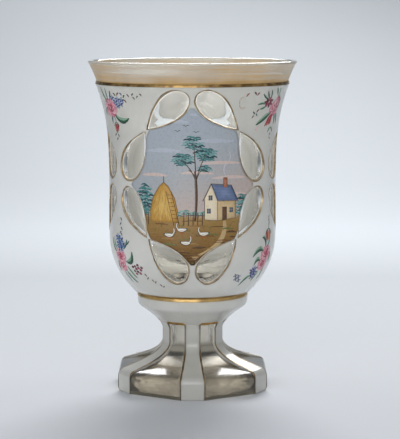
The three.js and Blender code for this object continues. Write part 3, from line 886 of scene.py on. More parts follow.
# %% Outline of the clear glass body
LIP_FLAT = (0.0011, 0.0018)
lip_outer = Vector((RIM_RADIUS - RIM_MARGIN, LIP_START))
lip_inner = Vector((RIM_RADIUS - LIP, LIP_START))
flat_outer, flat_inner = (Vector((RIM_RADIUS - inset, HEIGHT)) for inset in LIP_FLAT)
lip_line = [
    *bent(lip_outer, Vector((lip_outer.x, HEIGHT)), flat_outer, 4),
    *bent(flat_inner, Vector((lip_inner.x, HEIGHT)), lip_inner, 4),
]
inner_waist = WAIST_RADIUS - WALL
inner_depth = DOME_TOP - BOWL_FLOOR
hollow_line = [
    *dome(inner_waist, DOME_TOP, inner_depth, BOWL_FLOOR, 26),
    *[Vector((inner_waist, z)) for z in waist_heights],
    *flare(inner_waist, FLARE_START, lip_inner.x, lip_inner.y, 30)[:-1],
]
hollow_line[0].x = 0
outside_line = [p for p in upper_line if p.y < LIP_START - 0.0002]
body_line = [*outside_line, lip_outer, *lip_line, *hollow_line[::-1]]
print("body outline of", len(body_line), "points")


# %% Clear glass body
def down_to_ribs(mesh, upper, cone, top):
    """Spins the upper outline and steps down the cone, where the rings lean over to the ribs."""
    spun(mesh, upper)
    ring = ring_at(mesh, upper[0])
    for i, point in enumerate(reversed(cone)):
        ring = next_ring(mesh, ring, round_ring(point.x, point.y, (i + 1) / (len(cone) + 1)))
    return next_ring(mesh, ring, round_ring(top.x, top.y + ABOVE_RIBS, 1))


def clear_body():
    """Closed body of the clear glass, before the windows are ground in."""
    mesh = bmesh.new()
    ring = down_to_ribs(mesh, body_line, cone_line, PANEL_TOP)
    for rib, panel in zip(rib_line, panel_line):
        ring = next_ring(mesh, ring, foot_ring(rib, panel, rib_half(rib.x)))
    ring = next_ring(mesh, ring, round_ring(PONTIL_RADIUS, 0, 0))
    for share in PONTIL_SHARES:
        depth = PONTIL_DEPTH * (1 - share * share)
        ring = next_ring(mesh, ring, round_ring(PONTIL_RADIUS * share, depth, 0))
    end_ring(mesh, ring, Vector((0, 0, PONTIL_DEPTH)))
    bmesh.ops.remove_doubles(mesh, verts=mesh.verts, dist=1e-6)
    return to_object(mesh, "clear_glass_body")


body = clear_body()
cut(body, tools, 32)
lay(body, clear_glass, "clear_glass", "crystal_body")
print("clear glass of", len(body.data.polygons), "faces")

# %% [markdown]
# ## The white casing
# The casing starts as the same outline moved out by its thickness. Below the cone only the ribs
# keep it: the faces over the panels are deleted. Solidify then gives the skin its thickness
# inwards, a hair deeper than the clear glass, because the two are fused and no air lies between.

# %% White casing
CASING_EDGE = [(0.0012, 0.0009), (0.0006, 0.00068), (0, 0.00022)]
TABLE_GAP = 0.0002
skin_line = moved_out([*reversed(rib_line[:-1]), *cone_line, *upper_line], CASING)
for point in skin_line:
    point.y = max(point.y, TABLE_GAP)
casing_rib_line = skin_line[: len(rib_line) - 1][::-1]
casing_cone_line = skin_line[len(rib_line) - 1 : len(rib_line) - 1 + len(cone_line)]
casing_cone_top = skin_line[len(rib_line) - 1 + len(cone_line)]


def casing_skin():
    """Outer surface of the casing, open at the panels of the foot, given its thickness."""
    mesh = bmesh.new()
    thinning = [point_at(CASING_TOP - below, distance) for below, distance in CASING_EDGE]
    upper = stretch(casing_cone_top.y, thinning[0].y, CASING) + thinning[1:]
    ring = down_to_ribs(mesh, upper, casing_cone_line, casing_rib_line[0])
    uncased = set()
    for rib, inner in zip(casing_rib_line, rib_line):
        ring = next_ring(mesh, ring, foot_ring(rib, rib, rib_half(inner.x), RIB_BEVEL_DROP))
        for i, edge in enumerate(round_edges(mesh, ring)):
            if i % PER_RIB >= RIB_STEPS:
                uncased.update(edge.link_faces)
    bmesh.ops.delete(mesh, geom=list(uncased), context="FACES")
    bmesh.ops.recalc_face_normals(mesh, faces=mesh.faces)
    widest = max(mesh.faces, key=lambda f: f.calc_center_median().xy.length)
    if widest.normal.xy.dot(widest.calc_center_median().xy) < 0:
        bmesh.ops.reverse_faces(mesh, faces=mesh.faces)
    bmesh.ops.solidify(mesh, geom=mesh.faces, thickness=CASING + FUSED)
    return to_object(mesh, "white_glass_casing")


casing = casing_skin()
cut(casing, tools, 35)
# Marks the casing's inner faces, which the white glass finish paints lighter as painted light.
inside = casing.data.attributes.new("inside", "FLOAT", "FACE")
for face, mark in zip(casing.data.polygons, inside.data):
    mark.value = face.normal.xy.dot(face.center.xy) < 0
lay(casing, white_glass, "white_glass", "white_casing")
bpy.data.objects.remove(tools)
radii = [v.co.xy.length for v in casing.data.vertices]
print("casing of", len(casing.data.polygons), "faces, widest", round(2000 * max(radii), 2), "mm")

# %% [markdown]
# ## Gold lines round the windows
# The gilder draws a line round each window with a fine brush, so no line is quite even. A line is
# a bead of a few rings. A slow noise makes it wider and narrower, and it sinks a hair into the
# casing.

# %% Window lines
LINE_INSIDE = 0.00016
LINE_WIDTH = 0.0007
LINE_HEIGHT = 0.00010
SUNK = -0.00004
BEAD_SHARES = [(0.25, 0.8), (0.6, 1), (0.9, 0.6)]
BEAD = [(0, SUNK), *[(share, high * LINE_HEIGHT) for share, high in BEAD_SHARES], (1, SUNK)]
(BEVEL_OUT, BEVEL_HIGH), (BEVEL_IN, BEVEL_LOW) = TOOL_RINGS[1:3]


def over_bevel(grow):
    """Distance of the casing's surface off the clear glass, at a grow across its ground edge."""
    share = min(max((grow - BEVEL_IN) / (BEVEL_OUT - BEVEL_IN), 0), 1)
    return min(CASING, BEVEL_LOW + (BEVEL_HIGH - BEVEL_LOW) * share)


def window_line(name, shape, side, turn):
    """One gold outline, a closed bead of uneven width."""
    mesh = bmesh.new()
    seed = 7 * turn + 3 * side + 900 * shape[2]
    ahead = (shape[0] - shape[1]).normalized()
    beside = Vector((ahead.y, -ahead.x))
    places = []
    for across, height in BEAD:
        grows = []
        for i in range(DROP_POINTS):
            t = math.tau * i / DROP_POINTS
            uneven = noise.noise(Vector((1.3 * math.cos(t), 1.3 * math.sin(t), seed)))
            fine = noise.noise(Vector((9 * math.cos(t), 9 * math.sin(t), seed)))
            under = max(0, -ahead.y * math.cos(t) - beside.y * math.sin(t))
            wide = LINE_WIDTH * (0.75 + 0.6 * uneven + 0.35 * fine + 0.7 * under)
            grows.append(wide * across - LINE_INSIDE)
        heights = [round(over_bevel(g) + height, 5) for g in grows]
        places.append([wrapped(p, h, side, turn) for p, h in zip(drop(shape, grows), heights)])
    ring = start = first_ring(mesh, places[0])
    for following in places[1:]:
        ring = next_ring(mesh, ring, following)
    bmesh.ops.bridge_loops(mesh, edges=round_edges(mesh, start) + round_edges(mesh, ring))
    return to_object(mesh, name)


for medallion, turn in medallions.items():
    for place, shape in windows.items():
        for hand, side in sides.items():
            node = f"window_line_{medallion}_{place}_{hand}"
            lay(window_line("gold_" + node, shape, side, turn), line_gold, "line_gold", node)

# %% [markdown]
# ## Bands of gold
# Each band is a strip of the outline at two distances, closed at both edges and spun. The rim's
# gilding lies on the bare glass, the dark line on the casing's upper edge, and the bright band over
# the shoulder of the collar.

# %% Gold bands
GILDING = (0.00002, 0.00006)
RIM_LINE = (SUNK, 0.0001)
COLLAR_BAND = (CASING - 0.00003, CASING + 0.00006)
BAND_RAISED = (0.0006, 0.0014)


def strip(name, under, over, *finish):
    """Thin closed strip round the beaker, between two lines."""
    mesh = bmesh.new()
    spun(mesh, over + under[::-1], closed=True)
    lay(to_object(mesh, name, sharp=40), *finish)


gilded_line = stretch(CASING_TOP, LIP_START, 0) + lip_line[:2]
lines = [moved_out(gilded_line, distance) for distance in GILDING]
strip("gold_rim_gilding", *lines, worn_gilding, "worn_gilding", "rim_gilding")
slope = [point_at(CASING_TOP - below, distance) for below, distance in CASING_EDGE]
lines = [moved_out(slope, distance) for distance in RIM_LINE]
strip("gold_rim_line", *lines, dark_gold, "line_gold", "rim_gold_line")
ends = [corner.z + raised for corner, raised in zip(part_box("collar_gold_band"), BAND_RAISED)]
lines = [stretch(*ends, distance) for distance in COLLAR_BAND]
strip("gold_collar_band", *lines, band_gold, "band_gold", "collar_gold_band")
print("bands at", [round(1000 * z, 1) for z in (*ends, CASING_TOP, LIP_START)])

# %% [markdown]
# ## Gold up and over the panels
# Beside each cut panel a gold line runs up the edge of one rib, over the top of the panel and down
# the next rib. It is one bead along a path, with a path of directions that point off the glass.

# %% Panel lines
PANEL_LINE = 0.00095
PANEL_TOP_LINE = 0.0018
rise_line = casing_rib_line[:-1][::-1]
rise_halves = [rib_half(p.x) for p in rib_line[:-2][::-1]]
panel_corner = math.degrees(math.asin(rib_half(PANEL_TOP.x) / PANEL_TOP.x))


def up_rib(side, rib, inset):
    """Places up one edge of a rib, at an inset from it, down on the ground edge."""
    bevel = RIB_BEVEL_DROP * max(0, 1 - inset / RIB_BEVEL)
    edge = zip(rise_line, rise_halves)
    return [turned(side * (h - inset), bevel - p.x, p.y, rib * PITCH) for p, h in edge]


def off_rib(rib):
    """Directions straight off the rib at those places."""
    directions = []
    for i in range(len(rise_line)):
        before, after = rise_line[max(i - 1, 0)], rise_line[min(i + 1, len(rise_line) - 1)]
        out = Vector((after.y - before.y, before.x - after.x)).normalized()
        directions.append(turned(0, -out.x, out.y, rib * PITCH))
    return directions


def panel_gold(name, panel):
    """The gold line of one panel."""
    mesh = bmesh.new()
    top = casing_rib_line[0]
    slope = (casing_cone_line[0] - top).normalized()
    span = PITCH - 2 * panel_corner
    angles = [panel * PITCH + panel_corner + span * i / PANEL_STEPS for i in range(PANEL_STEPS + 1)]
    off_top = [turned(0, -slope.y, -slope.x, a) for a in angles]
    out = off_rib(panel) + off_top + off_rib(panel + 1)[::-1]
    edges = []
    for inset, over_top in ((0, 0), (PANEL_LINE, PANEL_TOP_LINE)):
        over = top + slope * over_top
        across = [turned(0, -over.x, over.y, a) for a in angles]
        edges.append(up_rib(1, panel, inset) + across + up_rib(-1, panel + 1, inset)[::-1])
    path = zip(*edges, out)
    rings = [[a.lerp(b, share) + o * height for share, height in BEAD] for a, b, o in path]
    ring = first_ring(mesh, rings[0], capped=True)
    for places in rings[1:]:
        ring = next_ring(mesh, ring, places)
    bmesh.ops.contextual_create(mesh, geom=ring)
    return to_object(mesh, name)


for panel in range(RIBS):
    node = f"foot_panel_line_{panel + 1}"
    lay(panel_gold("gold_" + node, panel), panel_line_gold, "line_gold", node)
print("panel lines", RIBS)

# %% [markdown]
# ## Brush strokes in enamel
# The painter works wet, in single strokes that swell and thin out. A stroke here is a bead along a
# flat path, bent round the bowl like the windows, and every vertex carries its colour as a tint.

# %% Strokes
STROKE = [(-1, SUNK), (-0.6, 0.7), (0, 1), (0.6, 0.7), (1, SUNK)]
MM = 1000


class Brush:
    """Paints strokes and filled shapes into one piece, on one side of the beaker."""

    def __init__(self, turn=0, side=1):
        self.mesh = bmesh.new()
        self.tint = self.mesh.verts.layers.float_color.new("tint")
        self.turn = turn
        self.side = side

    def place(self, point, lift):
        """A flat point on the casing, lifted off it."""
        return wrapped(point, round(CASING + lift, 6), self.side, self.turn)

    def colour(self, ring, tint):
        """Gives a ring its tint."""
        for vertex in ring:
            vertex[self.tint] = tint

    def stroke(self, code, width, start, bend, end, lift=0.09, steps=7, swell=0.8):
        """One stroke in millimetres, from start by bend to end."""
        start, bend, end = (Vector(p) / MM for p in (start, bend, end))
        path = [start, *bent(start, bend, end, steps)]
        ring = None
        for i, point in enumerate(path):
            ahead = path[min(i + 1, steps)] - path[max(i - 1, 0)]
            beside = Vector((-ahead.y, ahead.x)).normalized()
            swollen = 1 - swell + swell * math.sin(math.pi * (i + 0.4) / (steps + 0.8)) ** 0.8
            half = beside * width / 2 / MM * swollen
            lifts = [(x, h if h < 0 else h * lift / MM) for x, h in STROKE]
            places = [self.place(point + half * x, h) for x, h in lifts]
            if ring:
                ring = next_ring(self.mesh, ring, places)
            else:
                ring = first_ring(self.mesh, places, capped=True)
            self.colour(ring, paint(code))
        bmesh.ops.contextual_create(self.mesh, geom=ring)

    def shape(self, code, corners, lift=0.07, middle=None):
        """A filled shape in millimetres, from its corners, with another tint in its middle."""
        corners = [Vector(p) / MM for p in corners]
        outline = []
        for a, b in zip(corners, [*corners[1:], corners[0]]):
            pieces = max(1, round((b - a).length / 0.0012))
            outline += [a.lerp(b, i / pieces) for i in range(pieces)]
        centre = sum(outline, Vector((0, 0))) / len(outline)
        edge, inner = Vector(paint(code)), Vector(paint(middle or code))
        ring = first_ring(self.mesh, [self.place(p, SUNK) for p in outline])
        self.colour(ring, edge)
        rings = max(2, round(max((p - centre).length for p in outline) / 0.002))
        for i in range(rings + 1):
            share = i / rings
            inward = [self.place(p.lerp(centre, share), lift / MM) for p in outline]
            ring = next_ring(self.mesh, ring, inward)
            self.colour(ring, edge.lerp(inner, share))
        bmesh.ops.pointmerge(self.mesh, verts=ring, merge_co=self.place(centre, lift / MM))

    def dot(self, code, x, z, size):
        """A touch of the brush's tip."""
        ends = (x - size / 2, z), (x, z + size / 4), (x + size / 2, z)
        self.stroke(code, size, *ends, lift=0.11, steps=4)


# %% [markdown]
# ## Flowers
# The white fields between the medallions carry sprays of roses, small blue flowers, buds and
# leaves, painted in a few strokes each: a rose of pink commas round a crimson heart with white
# lights, leaves with a dark and a pale side, and trails of dots that thin out towards the windows.

# %% Flower parts
PINKS = ("d58196", "e3a5b1", "cb6a82", "dd93a5")
CRIMSONS = ("a92c4a", "b9405c", "8e2340")
BLUES = ("3a5596", "7d97c6", "2a3c70", "5a78b4")
GREENS = ("2b5a41", "8db399", "183d30")
TEALS = ("35686b", "8fb5b3", "1d4649")
BERRIES = ("6e1f3b", "92385a", "521a30")
DARK_DOTS = ("5c2a3c", "2c3f4a", "6d4a2c", "2d5240")
SPREAD = 1.3
GOLDEN_ANGLE = 137.5


def about(x, z, size, degrees):
    """A place at a distance and a direction from another; the sprays are wider than tall."""
    a = math.radians(degrees)
    return x + SPREAD * size * math.cos(a), z + size * math.sin(a)


def commas(brush, tints, x, z, size, width, count, tilt, marks, lift, rise=0):
    """Strokes round a middle, each through three places given as distance and direction."""
    for i in range(count):
        ends = [about(x, z, share * size, 360 * i / count + tilt + turn) for share, turn in marks]
        brush.stroke(tints[i % len(tints)], width * size, *ends, lift=lift + rise * (i % 4))


def rose(brush, x, z, size, tilt=0):
    """Open rose: pale petals, crimson commas in its heart, and white lights."""
    petals = (1, -25), (1.15, 10), (0.25, 55)
    heart = (0.55, 20), (0.6, 65), (0.2, 120)
    lights = (0.95, 0), (0.85, 22), (0.45, 34)
    commas(brush, PINKS, x, z, size, 0.6, 9, tilt, petals, 0.07, 0.004)
    commas(brush, CRIMSONS, x, z, size, 0.3, 4, tilt, heart, 0.11)
    commas(brush, ["f3e3e4"], x, z, size, 0.15, 5, tilt, lights, 0.13)


def florets(brush, tints, size, petals, places):
    """Small open flowers of single dabs round a pale eye."""
    for x, z in places:
        for i in range(petals):
            a = 360 * i / petals + 17
            ends = (x, z), about(x, z, 0.6 * size, a + 20), about(x, z, size, a)
            brush.stroke(tints[i % len(tints)], size * 0.62, *ends, steps=5)
        brush.dot("e3dcb4", x, z, size * 0.4)


def leaves(brush, tints, *rows):
    """Leaves of a pale upper stroke and two darker ones, each row three places and a width."""
    for x, z, bend_x, bend_z, end_x, end_z, width in rows:
        start, end = (x, z), (end_x, end_z)
        bends = (bend_x, bend_z + 0.5 * width), (bend_x, bend_z), (bend_x, bend_z - 0.4 * width)
        brush.stroke(tints[1], width * 0.8, start, bends[0], end, lift=0.07, swell=0.95)
        brush.stroke(tints[0], width * 0.75, start, bends[1], end, lift=0.09, swell=0.95)
        brush.stroke(tints[2], width * 0.25, start, bends[2], end, lift=0.105)


def bud(brush, x, z, size, tints=("a3262f", "7e1c2a", "cf5a4e")):
    """Closed bud that hangs: three commas and two sepals."""
    for i, code in enumerate(tints):
        out = (i - 1) * size
        ends = (x + 0.5 * out, z + 0.6 * size), (x + 0.9 * out, z), (x + 0.6 * out, z - 1.5 * size)
        brush.stroke(code, size * 0.8, *ends)
    for side in (-size, size):
        ends = (x, z + size), (x + side, z + 0.8 * size), (x + side * 1.3, z - 0.2 * size)
        brush.stroke(GREENS[0], size * 0.3, *ends)


def berries(brush, x, z, size, count):
    """Bunch of berries with small lights."""
    for i in range(count):
        px, pz = about(x, z, size * math.sqrt((i + 0.4) / count), GOLDEN_ANGLE * i)
        brush.dot(BERRIES[i % 3], px, pz, 0.52 * size)
        if i % 2:
            brush.dot("d6a0b0", px - 0.15 * size, pz + 0.12 * size, 0.2 * size)


def trail(brush, tints, size, *places):
    """Commas that follow one another and grow smaller."""
    for i, (x, z) in enumerate(places):
        long = size * (1 - 0.05 * i) / 2
        lean = long if i % 2 else -long
        ends = (x - lean, z + long), (x, z + long), (x + lean, z - long)
        brush.stroke(tints[i % len(tints)], size * 0.62, *ends, steps=4)


tints = {*PINKS, *CRIMSONS, *BLUES, *GREENS, *TEALS, *BERRIES, *DARK_DOTS}
print("flower parts in", len(tints), "tints")

# %% [markdown]
# ## Where the flowers go
# Each field has its own hand. On the left the blue flowers and the trail lead to the window. On the
# right a fuller bunch hangs down, a curl of worn gold beside it. The back repeats the left one.


# %% Sprays above
def left_upper_spray(brush):
    """Rose with blue flowers towards the window, a curved leaf, a bud and commas below."""
    leaves(brush, GREENS, (3.4, 122.6, 5.6, 125.4, 6.6, 129.2, 1.9))
    leaves(brush, TEALS, (2.2, 123.6, 3, 126, 2.2, 129, 1.3))
    leaves(brush, GREENS, (0.6, 124, -0.2, 126.6, -1.6, 128.2, 1.1))
    leaves(brush, GREENS, (4.6, 121, 6.6, 120.4, 7.8, 117.6, 1.4))
    rose(brush, 1.7, 120.8, 3.5)
    brush.stroke(CRIMSONS[1], 1.3, (0.6, 122.6), (1.6, 120.8), (1, 118.8), lift=0.145)
    blue = (-3.2, 123.6), (-5, 124.6), (-6.4, 122.8), (-4.4, 122), (-7.4, 124.4), (-1.4, 125.2)
    florets(brush, BLUES, 1.25, 5, blue)
    far = (-3.6, 126.6), (-5.8, 126.8), (-7.6, 126.9), (-9.2, 126), (-9.4, 124)
    trail(brush, ("4a5d3a", "7a3a2c", "35508c"), 1.2, *far)
    farther = (-11.4, 126.4), (-13.8, 126.9), (-14, 125.4), (-15.8, 126), (-17.4, 126.9)
    trail(brush, DARK_DOTS, 0.95, *farther)
    leaves(brush, GREENS, (-0.8, 118.2, -5.4, 113.2, -9.8, 117, 2.7))
    leaves(brush, TEALS, (1.2, 117.6, 2.6, 116.4, 1.8, 114.4, 1.8))
    brush.stroke(GREENS[2], 0.28, (0.2, 117.4), (-0.9, 116), (-0.9, 114.6))
    bud(brush, -0.8, 113.4, 1.5)
    under = (-0.4, 110.9), (0.8, 109.6), (-1.4, 109.4), (-0.4, 108)
    trail(brush, (GREENS[2], "232f2c"), 1.1, *under)


def right_upper_spray(brush):
    """Dark pink flower and leaves over a tall rose, a long leaf, a red bud and a sprig below."""
    leaves(
        brush,
        GREENS,
        (-3.4, 124.8, -5, 126.2, -5.6, 128.2, 1.1),
        (-4.2, 124.6, -6.4, 125.2, -8, 127, 1.1),
        (-2.6, 125, -2.6, 127, -3.4, 128.6, 1.1),
        (-5.2, 122.6, -8, 123.4, -10, 122.6, 1.1),
        (-5, 122, -6.6, 120.6, -8.4, 120.8, 1.1),
        (2, 126, 1.2, 128, 0.2, 129.2, 1.1),
        (2.8, 125.6, 3.6, 127.6, 3, 129.2, 1.1),
    )
    florets(brush, ("7d2a42", "a04a62", "5e1e33"), 2.3, 7, [(-3.6, 123.4)])
    for i, code in enumerate(PINKS + CRIMSONS):
        x = 0.2 + 0.75 * i
        ends = (x + 1.2, 126 - 0.5 * abs(i - 3)), (x + 0.6, 121), (x - 1.6, 117.2 + 0.4 * i)
        brush.stroke(code, 1.6, *ends, lift=0.07 + 0.005 * i, swell=0.85)
    rose(brush, 1.6, 120.6, 2.7, 40)
    for x, z in ((0, 120.4), (1.8, 121), (3, 123.2), (0.4, 118)):
        brush.stroke(CRIMSONS[0], 1, (x + 1, z + 2.2), (x + 0.9, z), (x - 0.8, z - 1.8), lift=0.128)
    for i in range(4):
        x = 0.4 + 1.1 * i
        brush.stroke("f3e3e4", 0.4, (x + 1, 125), (x + 0.4, 121), (x - 0.8, 118.6), lift=0.135)
    leaves(brush, GREENS, (-0.8, 119, -4.8, 116.4, -9.4, 114.2, 2.4))
    for i, code in enumerate(("a3262f", "c8473f", "8a1f2c", "a3262f")):
        ends = (-0.4 + 0.5 * i, 118), (-1.8 + 0.7 * i, 116), (-3.6 + 1.3 * i, 113.4 + 0.2 * i)
        brush.stroke(code, 1.25, *ends)
    leaves(brush, TEALS, (2.6, 118.4, 4.2, 116.6, 3.8, 114, 1.6))
    leaves(brush, GREENS, (4.4, 118.6, 6, 117, 6, 114.6, 1.5))
    trail(brush, DARK_DOTS, 1.1, (-9.4, 120), (-11.4, 119.2), (-11.6, 117.6), (-9.8, 118.4))
    trail(brush, ("8e3b34", "5c2a3c"), 1.2, (-15.8, 126.8), (-12.4, 127.3), (-10.8, 127))
    leaves(brush, GREENS, (1.2, 112.8, 0, 112.4, -0.6, 110.8, 1))
    leaves(brush, GREENS, (1.4, 112.8, 2.8, 112.4, 3, 110.8, 1))
    trail(brush, (GREENS[2], "7a5a62"), 1, (1.6, 109.8), (1.5, 108.2))
    brush.stroke("e0b9bd", 0.7, (-9, 113.4), (-8.6, 112.6), (-8.8, 111.8))
    curl = (-17, 126), (-19.4, 126), (-19, 123.2), (-18.4, 120.6), (-16.2, 121.8)
    for ends in (curl[:3], curl[2:]):
        brush.stroke("c9b9a2", 0.5, *ends, lift=0.05, swell=0.5)


# %% Sprays below
def left_lower_spray(brush):
    """Blue flowers over two roses, with berries, leaves and trails up and aside."""
    up = (-1.9, 74.4), (-1.5, 72.4), (-2.2, 70.4), (-1.4, 68.8), (-2.2, 68)
    trail(brush, ("3d4c62", "2c3f4a"), 1.15, *up)
    leaves(brush, GREENS, (3.2, 60, 5.8, 61.6, 6.4, 66, 2))
    leaves(brush, TEALS, (2, 61.4, 4.2, 63, 4.4, 66.4, 1.4))
    blue = (-1.4, 65.6), (0.2, 63.8), (-2.6, 63.6), (-0.8, 61.8), (0.8, 66.4)
    florets(brush, (*BLUES, "4c7f9c"), 1.75, 6, blue)
    leaves(brush, TEALS, (-3.4, 62, -5.6, 63.4, -6, 66.2, 1.5))
    leaves(brush, GREENS, (-4, 63.4, -6.4, 64.2, -7.6, 65.8, 1.1))
    leaves(brush, GREENS, (-3.6, 56.6, -8.6, 55, -8.8, 61.2, 3))
    rose(brush, 0.2, 58.6, 3, 30)
    rose(brush, 0.8, 54.6, 2.5, 75)
    brush.stroke(CRIMSONS[1], 1.2, (-1, 60), (0.8, 59), (-0.4, 57.2), lift=0.145)
    berries(brush, -10.2, 53.8, 2.5, 11)
    leaves(brush, GREENS, (-3.6, 54.6, -5.4, 51.6, -8, 49.8, 1.5))
    leaves(brush, GREENS, (-1.6, 52.8, -3, 49.6, -6.4, 47.6, 1.9))
    leaves(brush, TEALS, (0.4, 52.2, 0.2, 49.6, -2.4, 47.4, 1.5))
    leaves(brush, GREENS, (3.6, 56, 5.2, 54.4, 5, 51.6, 1.6))
    aside = (-14.2, 51.6), (-15, 50.2), (-17.4, 49.3), (-18.8, 48.7), (-21.2, 47.4), (-22.6, 46.9)
    trail(brush, DARK_DOTS, 1.05, *aside)


def right_lower_spray(brush):
    """Orange bud on top, dark curved leaves, a large rose, a blue flower and small sprigs."""
    trail(brush, ("8a5a6c", "5c2a3c"), 0.9, (2.9, 75), (2.7, 73.4), (3, 72))
    brush.stroke("4a5d3a", 0.26, (2.9, 74.5), (2.8, 72), (2.6, 70))
    bud(brush, 2.4, 68, 2, ("a6342c", "d98a68", "c4553e"))
    brush.stroke("8e2a2a", 1, (1.4, 69.6), (0.8, 68), (2, 65.6))
    leaves(brush, GREENS, (0, 62.6, 0.6, 66.4, -2.8, 66.8, 2.3))
    leaves(brush, TEALS, (1.4, 62.8, 3.4, 63.6, 3.6, 65.4, 1.4))
    leaves(brush, GREENS, (-1.6, 60.8, -4.6, 63.4, -8.6, 59, 2.6))
    leaves(brush, GREENS, (-2.8, 56.8, -5.6, 58.6, -6.6, 55.2, 2.4))
    leaves(brush, GREENS, (4.8, 60.4, 6.6, 58.4, 6.4, 55.4, 1.6))
    rose(brush, 1.4, 59.4, 3.2, 10)
    rose(brush, 0, 55.4, 2.7, 60)
    brush.stroke(CRIMSONS[0], 2, (2.6, 61.8), (1.2, 60), (1.8, 57.8), lift=0.15)
    brush.stroke(CRIMSONS[1], 1.4, (0.4, 57.4), (-1.4, 55.6), (0.6, 53.8), lift=0.145)
    blue = (-5.2, 53.4), (-6, 51.8), (-4.2, 51.6), (-5.2, 50.4), (-6.6, 53)
    florets(brush, ("34427f", "5a68ad", "262f63"), 1.5, 5, blue)
    leaves(brush, GREENS, (-7, 50.6, -9.4, 50.4, -12.2, 46.6, 1.7))
    leaves(brush, GREENS, (-1.4, 52.2, -2.6, 50, -4.2, 48.2, 1.5))
    leaves(brush, GREENS, (2.4, 53.2, 2.8, 50.8, 1, 48.6, 1.4))
    pale = (-14.4, 51), (-15.8, 50), (-13.6, 49.2), (-16.4, 51.6)
    florets(brush, ("525e90", "3c3f63"), 0.95, 4, pale)


left_sprays = {"upper": left_upper_spray, "lower": left_lower_spray}
right_sprays = {"upper": right_upper_spray, "lower": right_lower_spray}
fields = {
    "right": (60, 1, right_sprays),
    "back": (180, -1, left_sprays),
    "left": (-60, -1, left_sprays),
}
for field, (turn, side, sprays) in fields.items():
    for place, spray in sprays.items():
        brush = Brush(turn, side)
        spray(brush)
        piece = to_object(brush.mesh, f"enamel_spray_{field}_{place}")
        lay(piece, flower_enamel, "flower_enamel", f"flower_spray_{field}_{place}")
        print(piece.name, "of", len(piece.data.polygons), "faces")

# %% [markdown]
# ## The painted scene
# A small country picture fills the field inside the front windows. This one is a cottage, a
# haystack and some geese under a hazy sky. The field's outline comes from rays: each runs from the
# middle of the field to the nearest gold line. A ray may reach only a little further than its
# neighbours, so the field is drawn to points above and below. The ground coat fills it with rings,
# tinted by height.

# %% Field of the painting
FIELD_RAYS = 144
FIELD_RINGS = 22
FIELD_GAP = 0.0007
FIELD_POINT = 0.0014
FIELD_PASSES = 8
FIELD_SKIN = 0.00003
FIELD_MIDDLE = Vector((0, MIDDLE))
FIELD_CORNERS = [
    (0, MEDALLION_BOTTOM + 0.003),
    (29.4, LOWER_JUNCTION),
    (45.5, MIDDLE),
    (29.4, UPPER_JUNCTION),
    (0, MEDALLION_TOP - 0.003),
]


def mirrored(line):
    """A flat outline on the other side of the middle."""
    return [Vector((-p.x, p.y)) for p in line]


def field_walls():
    """Flat segments that bound the field: the corners' lines and the windows."""
    right = [Vector((along(degrees), height)) for degrees, height in FIELD_CORNERS]
    outlines = [right + mirrored(right[-2:0:-1])]
    for shape in windows.values():
        outline = drop(shape, FIELD_GAP)
        outlines += [outline, mirrored(outline)]
    return [pair for line in outlines for pair in zip(line, [*line[1:], line[0]])]


walls = field_walls()


def reach_along(angle):
    """Distance from the middle of the field to its edge."""
    far = FIELD_MIDDLE + 0.06 * Vector((math.cos(angle), math.sin(angle)))
    hits = [intersect_line_line_2d(FIELD_MIDDLE, far, a, b) for a, b in walls]
    return min((hit - FIELD_MIDDLE).length for hit in hits if hit)


rays = [math.tau * (i + 0.5) / FIELD_RAYS for i in range(FIELD_RAYS)]
reaches = [reach_along(angle) for angle in rays]
for _ in range(FIELD_PASSES):
    beside = [min(reaches[i - 1], reaches[(i + 1) % FIELD_RAYS]) for i in range(FIELD_RAYS)]
    reaches = [min(reach, near + FIELD_POINT) for reach, near in zip(reaches, beside)]
print("field reaches", round(MM * min(reaches), 1), "to", round(MM * max(reaches), 1), "mm")


# %% Ground coat
SKY = [Vector(paint(code)) for code in ("afb8c2", "b1b6bb", "cbb8af")]
GROUND = [Vector(paint(code)) for code in ("a98850", "876430", "503818")]
HORIZON = 77.5


def coat(point):
    """Tint at a flat place: blue sky that warms to the right and down, ochre ground below it."""
    x, z = MM * point.x, MM * point.y
    drift = 0.12 * noise.noise(Vector((x, 2 * z, 0)) / 9)
    if z > HORIZON:
        share = min(max((z - HORIZON) / 34 - x / 90 + drift, 0), 1)
        return SKY[2].lerp(SKY[1], min(share * 2, 1)).lerp(SKY[0], max(share * 2 - 1, 0))
    share = min(max((HORIZON - z) / 24 + drift, 0), 1)
    return GROUND[0].lerp(GROUND[1], min(share * 2, 1)).lerp(GROUND[2], max(share * 2 - 1, 0))


class PictureBrush(Brush):
    """A brush that stays inside the painted field."""

    def place(self, point, lift):
        """A place on the casing, drawn back to the field's edge if it lies past it."""
        away = point - FIELD_MIDDLE
        ray = math.atan2(away.y, away.x) / math.tau * FIELD_RAYS - 0.5
        room = min(reaches[math.floor(ray) % FIELD_RAYS], reaches[math.ceil(ray) % FIELD_RAYS])
        kept = FIELD_MIDDLE + away * (room / away.length) if away.length > room else point
        return super().place(kept, lift)


def ground_coat(brush):
    """Thin tinted skin over the whole field."""
    edge = [FIELD_MIDDLE + r * Vector((math.cos(a), math.sin(a))) for a, r in zip(rays, reaches)]
    ring = first_ring(brush.mesh, [wrapped(p, CASING + SUNK) for p in edge])
    for row in range(FIELD_RINGS):
        flat = [p.lerp(FIELD_MIDDLE, row / FIELD_RINGS) for p in edge]
        ring = next_ring(brush.mesh, ring, [wrapped(p, CASING + FIELD_SKIN) for p in flat])
        for vertex, point in zip(ring, flat):
            vertex[brush.tint] = coat(point)
            if row == 0:
                for link in vertex.link_edges:
                    link.other_vert(vertex)[brush.tint] = coat(point)
    brush.colour(ring, coat(FIELD_MIDDLE))
    middle = wrapped(FIELD_MIDDLE, CASING + FIELD_SKIN)
    bmesh.ops.pointmerge(brush.mesh, verts=ring, merge_co=middle)


